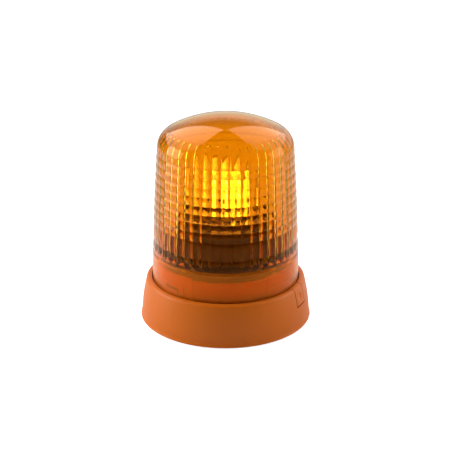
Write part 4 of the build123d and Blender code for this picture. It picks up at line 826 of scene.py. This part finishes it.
@dataclass
class LensDome:
    """The amber lens: horizontal rings outside, rounded vertical flutes inside, bayonet lugs at the foot.

    Lengths are in millimetres and angles in degrees.
    """

    foot_radius: float = 70.9
    foot_z: float = 35.3
    middle_radius: float = 68.9
    middle_z: float = 95.0
    shoulder_radius: float = 64.1
    shoulder_z: float = 168.5
    shoulder_round: float = 20.4
    top_z: float = 198.0
    wall: float = 2.6
    ring_top_z: float = 163.3
    ring_pitch: float = 8.3
    ring_count: int = 8
    lower_ring_pitches: tuple[float, ...] = (17.0, 12.1)
    ring_depth: float = 0.8
    flute_count: int = 48
    flute_depth: float = 1.2
    flute_bottom_z: float = 69.9
    lug_centres: tuple[float, ...] = (8.6, 128.6, 248.6)
    lug_arc: float = 14.0
    lug_low_z: float = 41.95
    lug_high_z: float = 45.85
    lug_depth: float = 2.35
    steps_per_flute: int = 10
    rows_per_ring: int = 12
    arc_rows: int = 22
    collar_rows: int = 24
    upper_rows: int = 4
    apex_radius: float = 1e-6

    def wall_circle(self) -> Circle:
        """The arc that the side wall follows.

        Returns:
            Its circle.
        """
        foot, middle = (self.foot_radius, self.foot_z), (self.middle_radius, self.middle_z)
        return Circle.through(foot, middle, (self.shoulder_radius, self.shoulder_z))

    def shoulder_circle(self) -> Circle:
        """The rounded shoulder, tangent to the wall at its top.

        Returns:
            Its circle.
        """
        wall = self.wall_circle()
        reach = (wall.radius - self.shoulder_round) / wall.radius
        r = wall.r + (self.shoulder_radius - wall.r) * reach
        z = wall.z + (self.shoulder_z - wall.z) * reach
        return Circle(r, z, self.shoulder_round)

    def crown_circle(self) -> Circle:
        """The crown's sphere, tangent to the shoulder.

        Returns:
            Its circle.
        """
        shoulder = self.shoulder_circle()
        drop = self.top_z - shoulder.z
        radius = (shoulder.r ** 2 + drop ** 2 - shoulder.radius ** 2) / (2 * (drop - shoulder.radius))
        return Circle(0.0, self.top_z - radius, radius)

    def groove_heights(self) -> list[float]:
        """Heights of the grooves between the rings.

        Returns:
            The heights from the bottom up.
        """
        heights = [self.ring_top_z - k * self.ring_pitch for k in range(self.ring_count + 1)]
        for pitch in self.lower_ring_pitches:
            heights.append(heights[-1] - pitch)
        return heights[::-1]

    def stations(self) -> list[Station]:
        """Stops along the outer profile from the foot to the apex, closer together on the rings.

        Returns:
            The stations in order.
        """
        wall, shoulder, crown = self.wall_circle(), self.shoulder_circle(), self.crown_circle()
        grooves = self.groove_heights()
        collar = grooves[0] - self.foot_z
        heights = [self.foot_z + collar * k / self.collar_rows for k in range(self.collar_rows)]
        for low, high in zip(grooves, grooves[1:]):
            rows = max(self.rows_per_ring, round((high - low) / self.ring_pitch * self.rows_per_ring))
            heights += [low + (high - low) * k / rows for k in range(rows)]
        upper = self.shoulder_z - grooves[-1]
        heights += [grooves[-1] + upper * k / self.upper_rows for k in range(self.upper_rows)]
        stops = [(wall, math.asin((height - wall.z) / wall.radius)) for height in heights]
        first = math.atan2(self.shoulder_z - shoulder.z, self.shoulder_radius - shoulder.r)
        last = math.atan2(shoulder.z - crown.z, shoulder.r)
        stops += [(shoulder, first + (last - first) * k / self.arc_rows) for k in range(self.arc_rows)]
        rest = math.pi / 2 - last
        stops += [(crown, last + rest * k / self.arc_rows) for k in range(self.arc_rows + 1)]
        made: list[Station] = []
        run = 0.0
        for circle, angle in stops:
            r = circle.r + circle.radius * math.cos(angle)
            z = circle.z + circle.radius * math.sin(angle)
            if made:
                run += math.hypot(r - made[-1].r, z - made[-1].z)
            made.append(Station(max(r, 0.0), z, math.cos(angle), math.sin(angle), run))
        return made

    def ring_relief(self, height: float) -> float:
        """How far the outer surface lies below its envelope at a height.

        Args:
            height: Height in millimetres.

        Returns:
            Depth in millimetres, greatest in a groove.
        """
        grooves = self.groove_heights()
        for low, high in zip(grooves, grooves[1:]):
            if low <= height <= high:
                share = (height - low) / (high - low)
                return self.ring_depth * (2 * share - 1) ** 2
        return 0.0

    def flute_relief(self, station: Station, run_start: float, run_end: float, share: float) -> float:
        """How far a flute stands in from the inner wall.

        Args:
            station: Where along the profile.
            run_start: Way along the profile to the flutes' lower ends.
            run_end: Way along the profile to their upper ends.
            share: Place across the flute, from minus one to one.

        Returns:
            Height in millimetres.
        """
        half_width = math.pi * self.shoulder_radius / self.flute_count
        inside = min(station.run - run_start, run_end - station.run)
        if inside <= 0:
            return 0.0
        end = max(0.0, 1.0 - inside / half_width)
        height = self.flute_depth * math.sqrt(max(0.0, 1.0 - end * end))
        return height * max(0.0, 1.0 - share * share - end * end)

    def lug_relief(self, height: float, angle: float) -> float:
        """How far a bayonet lug stands in from the inner wall.

        Args:
            height: Height in millimetres.
            angle: Plan angle in radians.

        Returns:
            Height in millimetres.
        """
        if not self.lug_low_z <= height <= self.lug_high_z:
            return 0.0
        for centre in self.lug_centres:
            away = abs((math.degrees(angle) - centre + 180.0) % 360.0 - 180.0)
            if away <= self.lug_arc / 2:
                return self.lug_depth
        return 0.0

    def row(self, station: Station, side: Side, run_start: float, run_end: float) -> list[Vector]:
        """One closed ring of points on a face of the wall.

        Args:
            station: Where along the profile.
            side: Which face of the wall.
            run_start: Way along the profile to the flutes' lower ends.
            run_end: Way along the profile to their upper ends.

        Returns:
            The ring's points, or a single point at the apex.
        """
        count = self.flute_count * self.steps_per_flute
        if station.r < self.apex_radius:
            return [station.at(0.0 if side is Side.OUTER else self.wall, 0.0)]
        angles = [2 * math.pi * k / count for k in range(count)]
        if side is Side.OUTER:
            inset = self.ring_relief(station.z)
            return [station.at(inset, angle) for angle in angles]
        points = []
        for k, angle in enumerate(angles):
            share = (k % self.steps_per_flute) / self.steps_per_flute * 2 - 1
            inset = self.wall + self.flute_relief(station, run_start, run_end, share)
            points.append(station.at(inset + self.lug_relief(station.z, angle), angle))
        return points

    def build(self) -> bpy.types.Object:
        """Builds the lens and puts it in place of its plain solid.

        Returns:
            The lens.
        """
        stations = self.stations()
        shoulder, crown = self.shoulder_circle(), self.crown_circle()
        join_z = crown.z + crown.radius * math.sin(math.atan2(shoulder.z - crown.z, shoulder.r))
        run_start = min(stations, key=lambda s: abs(s.z - self.flute_bottom_z)).run
        run_end = min(stations, key=lambda s: abs(s.z - join_z)).run
        outer = [self.row(s, Side.OUTER, run_start, run_end) for s in stations]
        inner = [self.row(s, Side.INNER, run_start, run_end) for s in stations]
        form = bmesh.new()
        ring_grid(form, inner[::-1] + outer)
        piece = object_from_bmesh("amber_lens", form)
        set_finish(piece, AMBER_POLYCARBONATE.material())
        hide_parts("lens_dome")
        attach(piece, "lens")
        return piece


# The lamp and the carried solids

@dataclass
class Lamp:
    """The halogen lamp's visible parts: the coiled filament on its wires, and the quartz envelope.

    Lengths are in millimetres.
    """

    centre_z: float = FOCUS_Z
    coil_radius: float = 0.85
    coil_length: float = 5.2
    coil_turns: int = 9
    wire_radius: float = 0.16
    support_offset: float = 2.4
    envelope_radius: float = 5.6
    envelope_wall: float = 0.9
    neck_top_z: float = 102.8
    envelope_length: float = 33.0
    tube_sides: int = 8
    steps_per_turn: int = 14
    envelope_sides: int = 48
    dome_rows: int = 10

    def coil_path(self) -> list[Vector]:
        """Points along the filament: up from one support, round the coil and down the other.

        Returns:
            The points in metres.
        """
        low = self.centre_z - self.coil_length / 2
        high = self.centre_z + self.coil_length / 2
        steps = self.coil_turns * self.steps_per_turn
        path = [Vector((-self.support_offset, 0, z)) for z in (self.neck_top_z, low)]
        for k in range(steps + 1):
            share = k / steps
            angle = math.pi + 2 * math.pi * self.coil_turns * share + math.pi * share
            x, y = self.coil_radius * math.cos(angle), self.coil_radius * math.sin(angle)
            path.append(Vector((x, y, low + (high - low) * share)))
        path += [Vector((self.support_offset, 0, z)) for z in (high, self.neck_top_z)]
        return [point * MILLIMETRE for point in path]

    def build(self) -> list[bpy.types.Object]:
        """Builds the filament and the envelope.

        Returns:
            The two pieces.
        """
        return [self.build_filament(), self.build_envelope()]

    def build_filament(self) -> bpy.types.Object:
        """Builds the filament as a thin tube along its path.

        Returns:
            The filament.
        """
        form = bmesh.new()
        path = self.coil_path()
        rows = []
        turns = [2 * math.pi * j / self.tube_sides for j in range(self.tube_sides)]
        side = Vector((0, 1, 0))
        for k, point in enumerate(path):
            before, after = path[max(k - 1, 0)], path[min(k + 1, len(path) - 1)]
            along = (after - before).normalized()
            side = (side - along * side.dot(along)).normalized()
            across = along.cross(side)
            rows.append([
                point + (side * math.cos(a) + across * math.sin(a)) * self.wire_radius * MILLIMETRE
                for a in turns
            ])
        ring_grid(form, [[path[0]], *rows, [path[-1]]])
        filament = object_from_bmesh("coiled_filament", form)
        set_finish(filament, TUNGSTEN.material())
        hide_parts("lamp_filament")
        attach(filament, "base")
        return filament

    def capsule_rows(self, radius: float, top: float) -> list[list[Vector]]:
        """Rings of a round-ended tube, from its open foot to its apex.

        Args:
            radius: Tube radius in millimetres.
            top: Height of the apex in millimetres.

        Returns:
            The rings, with a single point at the apex.
        """
        heights = [(radius, self.neck_top_z), (radius, top - radius)]
        heights += [
            (radius * math.cos(a), top - radius + radius * math.sin(a))
            for a in [math.pi / 2 * k / self.dome_rows for k in range(1, self.dome_rows)]
        ]
        turns = [2 * math.pi * k / self.envelope_sides for k in range(self.envelope_sides)]
        rows = [
            [Vector((r * math.cos(a), r * math.sin(a), z)) * MILLIMETRE for a in turns]
            for r, z in heights
        ]
        rows.append([Vector((0, 0, top)) * MILLIMETRE])
        return rows

    def build_envelope(self) -> bpy.types.Object:
        """Builds the quartz envelope as a closed thin-walled form.

        Returns:
            The envelope.
        """
        top = self.neck_top_z + self.envelope_length
        outer = self.capsule_rows(self.envelope_radius, top)
        inner = self.capsule_rows(self.envelope_radius - self.envelope_wall, top - self.envelope_wall)
        form = bmesh.new()
        ring_grid(form, inner[::-1] + outer)
        envelope = object_from_bmesh("quartz_envelope", form)
        envelope.visible_shadow = False
        set_finish(envelope, QUARTZ.material())
        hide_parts("lamp_glass")
        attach(envelope, "base")
        return envelope


@dataclass
class CarriedNodes:
    """The solids that keep their own shape and get a finish."""

    finishes: dict[Finish, tuple[str, ...]] = field(default_factory=lambda: dict(NODE_FINISHES))

    def dress(self) -> None:
        """Gives every carried solid its finish and reports it."""
        for finish, names in self.finishes.items():
            for name in names:
                set_finish(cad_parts[name], finish.material())
                LOG.info("dressed %s in %s", name, finish.name)


# Studio

@dataclass
class Softbox:
    """One rectangular studio light, placed by its bearing in degrees from the camera.

    Lengths are in metres. A light that isn't mirrored lights surfaces but shows in no reflection.
    """

    name: str
    bearing: float
    distance: float
    height: float
    width: float
    tall: float
    power: float
    colour: str = WHITE
    aim_height: float = 0.1
    mirrored: bool = True

    def build(self, view_azimuth: float) -> bpy.types.Object:
        """Builds the light.

        Args:
            view_azimuth: Azimuth of the main view in degrees.

        Returns:
            The light.
        """
        data = bpy.data.lights.new(self.name, "AREA")
        data.shape = "RECTANGLE"
        data.size = self.width
        data.size_y = self.tall
        data.energy = self.power
        data.color = linear_colour(self.colour)[:3]
        light = bpy.data.objects.new(self.name, data)
        angle = math.radians(ZERO_AZIMUTH + view_azimuth + self.bearing)
        place = Vector((math.cos(angle) * self.distance, math.sin(angle) * self.distance, self.height))
        light.location = place
        aim = Vector((0, 0, self.aim_height)) - place
        light.rotation_euler = aim.to_track_quat("-Z", "Y").to_euler()
        light.visible_glossy = self.mirrored
        light.visible_transmission = self.mirrored
        bpy.context.scene.collection.objects.link(light)
        return light


@dataclass
class BulbGlow:
    """The lamp's light: a small warm ball inside the quartz envelope that lights the dish."""

    centre_z: float = FOCUS_Z
    ball_radius: float = 3.0
    power: float = 0.12
    colour: str = "#FFC873"

    def build(self) -> bpy.types.Object:
        """Makes the light at the dish's focus.

        Returns:
            The light.
        """
        data = bpy.data.lights.new("bulb_glow", "POINT")
        data.energy = self.power
        data.shadow_soft_size = self.ball_radius * MILLIMETRE
        data.color = linear_colour(self.colour)[:3]
        light = bpy.data.objects.new("bulb_glow", data)
        light.location = (0.0, 0.0, self.centre_z * MILLIMETRE)
        bpy.context.scene.collection.objects.link(light)
        return light


@dataclass
class Studio:
    """Camera, floor, backdrop and soft lights.

    Lengths without a unit are in metres, azimuth and turn in degrees, and the camera's pitch in radians.
    The backdrop and the ceiling begin and end at cosines, one from the way to the backdrop and one from the
    zenith.
    """

    azimuth: float = 25.8
    distance: float = 0.88771
    height: float = 0.42248
    pitch: float = 0.359
    focal_px: float = 989.785
    image_px: float = 450.0
    axis_offset_px: float = 0.6
    sensor_mm: float = 36.0
    floor_size: float = 6.0
    floor_drop: float = 0.0002
    backdrop_turn: float = 18.0
    backdrop_from: float = 0.55
    backdrop_to: float = 0.93
    backdrop_strength: float = 0.95
    room_strength: float = 0.06
    ceiling_from: float = 0.35
    ceiling_to: float = 0.6
    ceiling_share: float = 0.15
    fill_share: float = 0.5
    boxes: list[Softbox] = field(default_factory=lambda: [
        Softbox(
            "left_high_panel",
            bearing=-122.0,
            distance=0.75,
            height=0.85,
            width=1.3,
            tall=0.9,
            power=8.0,
        ),
        Softbox(
            "right_high_panel",
            bearing=122.0,
            distance=0.75,
            height=0.85,
            width=1.3,
            tall=0.9,
            power=6.0,
        ),
        Softbox(
            "left_low_panel",
            bearing=-92.0,
            distance=1.1,
            height=0.35,
            width=0.7,
            tall=0.6,
            power=8.5,
        ),
        Softbox(
            "right_low_panel",
            bearing=92.0,
            distance=1.2,
            height=0.35,
            width=0.7,
            tall=0.6,
            power=4.5,
        ),
        Softbox(
            "lip_light",
            bearing=10.0,
            distance=0.5,
            height=1.2,
            width=0.5,
            tall=0.5,
            power=3.6,
            mirrored=False,
        ),
    ])

    def camera(self) -> bpy.types.Object:
        """Makes the camera that was fitted to the photograph's outline.

        Returns:
            The camera.
        """
        data = bpy.data.cameras.new("photo_camera")
        data.sensor_width = self.sensor_mm
        data.lens = self.focal_px / self.image_px * self.sensor_mm
        data.shift_x = -self.axis_offset_px / self.image_px
        camera = bpy.data.objects.new("photo_camera", data)
        turn = math.radians(self.azimuth)
        camera.location = (self.distance * math.sin(turn), -self.distance * math.cos(turn), self.height)
        camera.rotation_euler = (math.pi / 2 - self.pitch, 0.0, turn)
        bpy.context.scene.collection.objects.link(camera)
        bpy.context.scene.camera = camera
        return camera

    def world(self) -> None:
        """Makes a world that is white to the eye, while a bright backdrop in a dim room lights the object."""
        world = bpy.data.worlds.new("studio")
        bpy.context.scene.world = world
        world.use_nodes = True
        tree = world.node_tree
        turn = math.radians(self.azimuth - self.backdrop_turn)
        place = add_node(tree, "ShaderNodeTexCoord")
        away = add_node(
            tree,
            "ShaderNodeVectorMath",
            {"operation": "DOT_PRODUCT"},
            {0: place.outputs["Generated"], 1: (-math.sin(turn), math.cos(turn), 0.0)},
        )
        sweep = add_node(
            tree,
            "ShaderNodeMapRange",
            {"interpolation_type": "SMOOTHSTEP"},
            {
                "Value": away.outputs["Value"],
                "From Min": self.backdrop_from,
                "From Max": self.backdrop_to,
                "To Min": self.room_strength,
                "To Max": self.backdrop_strength,
            },
        )
        height = add_node(tree, "ShaderNodeSeparateXYZ", inputs={"Vector": place.outputs["Generated"]})
        ceiling = add_node(
            tree,
            "ShaderNodeMapRange",
            {"interpolation_type": "SMOOTHSTEP"},
            {
                "Value": height.outputs["Z"],
                "From Min": self.ceiling_from,
                "From Max": self.ceiling_to,
                "To Min": 1.0,
                "To Max": self.ceiling_share,
            },
        )
        room = add_node(
            tree,
            "ShaderNodeMath",
            {"operation": "MULTIPLY"},
            {0: sweep.outputs["Result"], 1: ceiling.outputs["Result"]},
        )
        rays = add_node(tree, "ShaderNodeLightPath")
        dimmed = add_node(
            tree,
            "ShaderNodeMath",
            {"operation": "MULTIPLY"},
            {0: room.outputs["Value"], 1: self.fill_share},
        )
        either = add_node(
            tree,
            "ShaderNodeMix",
            {"data_type": "FLOAT"},
            {
                "Factor": rays.outputs["Is Diffuse Ray"],
                VALUE_A: room.outputs["Value"],
                VALUE_B: dimmed.outputs["Value"],
            },
        )
        strength = add_node(
            tree,
            "ShaderNodeMath",
            {"operation": "MAXIMUM"},
            {0: rays.outputs["Is Camera Ray"], 1: either.outputs[VALUE_OUT]},
        )
        background = tree.nodes["Background"]
        background.inputs["Color"].default_value = linear_colour(WHITE)
        tree.links.new(strength.outputs["Value"], background.inputs["Strength"])

    def floor(self) -> bpy.types.Object:
        """Makes a pale floor that looks white to the eye and keeps the object's shadow.

        Returns:
            The floor.
        """
        form = bmesh.new()
        half = self.floor_size / 2
        signs = ((-1, -1), (1, -1), (1, 1), (-1, 1))
        form.faces.new([form.verts.new((x * half, y * half, 0.0)) for x, y in signs])
        floor = object_from_bmesh("studio_floor", form, smooth=False)
        floor.location.z = -self.floor_drop
        set_finish(floor, BackdropPaper().material())
        return floor

    def build(self) -> None:
        """Builds the camera, the lights, the world and the floor."""
        self.camera()
        self.world()
        self.floor()
        for box in self.boxes:
            box.build(self.azimuth)
        bpy.context.scene.view_settings.view_transform = "Standard"


def main() -> None:
    """Builds the studio and every sub-assembly."""
    logging.basicConfig(level=logging.INFO, format="%(name)s: %(message)s")
    Studio().build()
    BulbGlow().build()
    CarriedNodes().dress()
    lens = LensDome().build()
    LOG.info("built %s with %d faces", lens.name, len(lens.data.polygons))
    for piece in Lamp().build():
        LOG.info("built %s with %d faces", piece.name, len(piece.data.polygons))


if __name__ == "__main__":
    main()
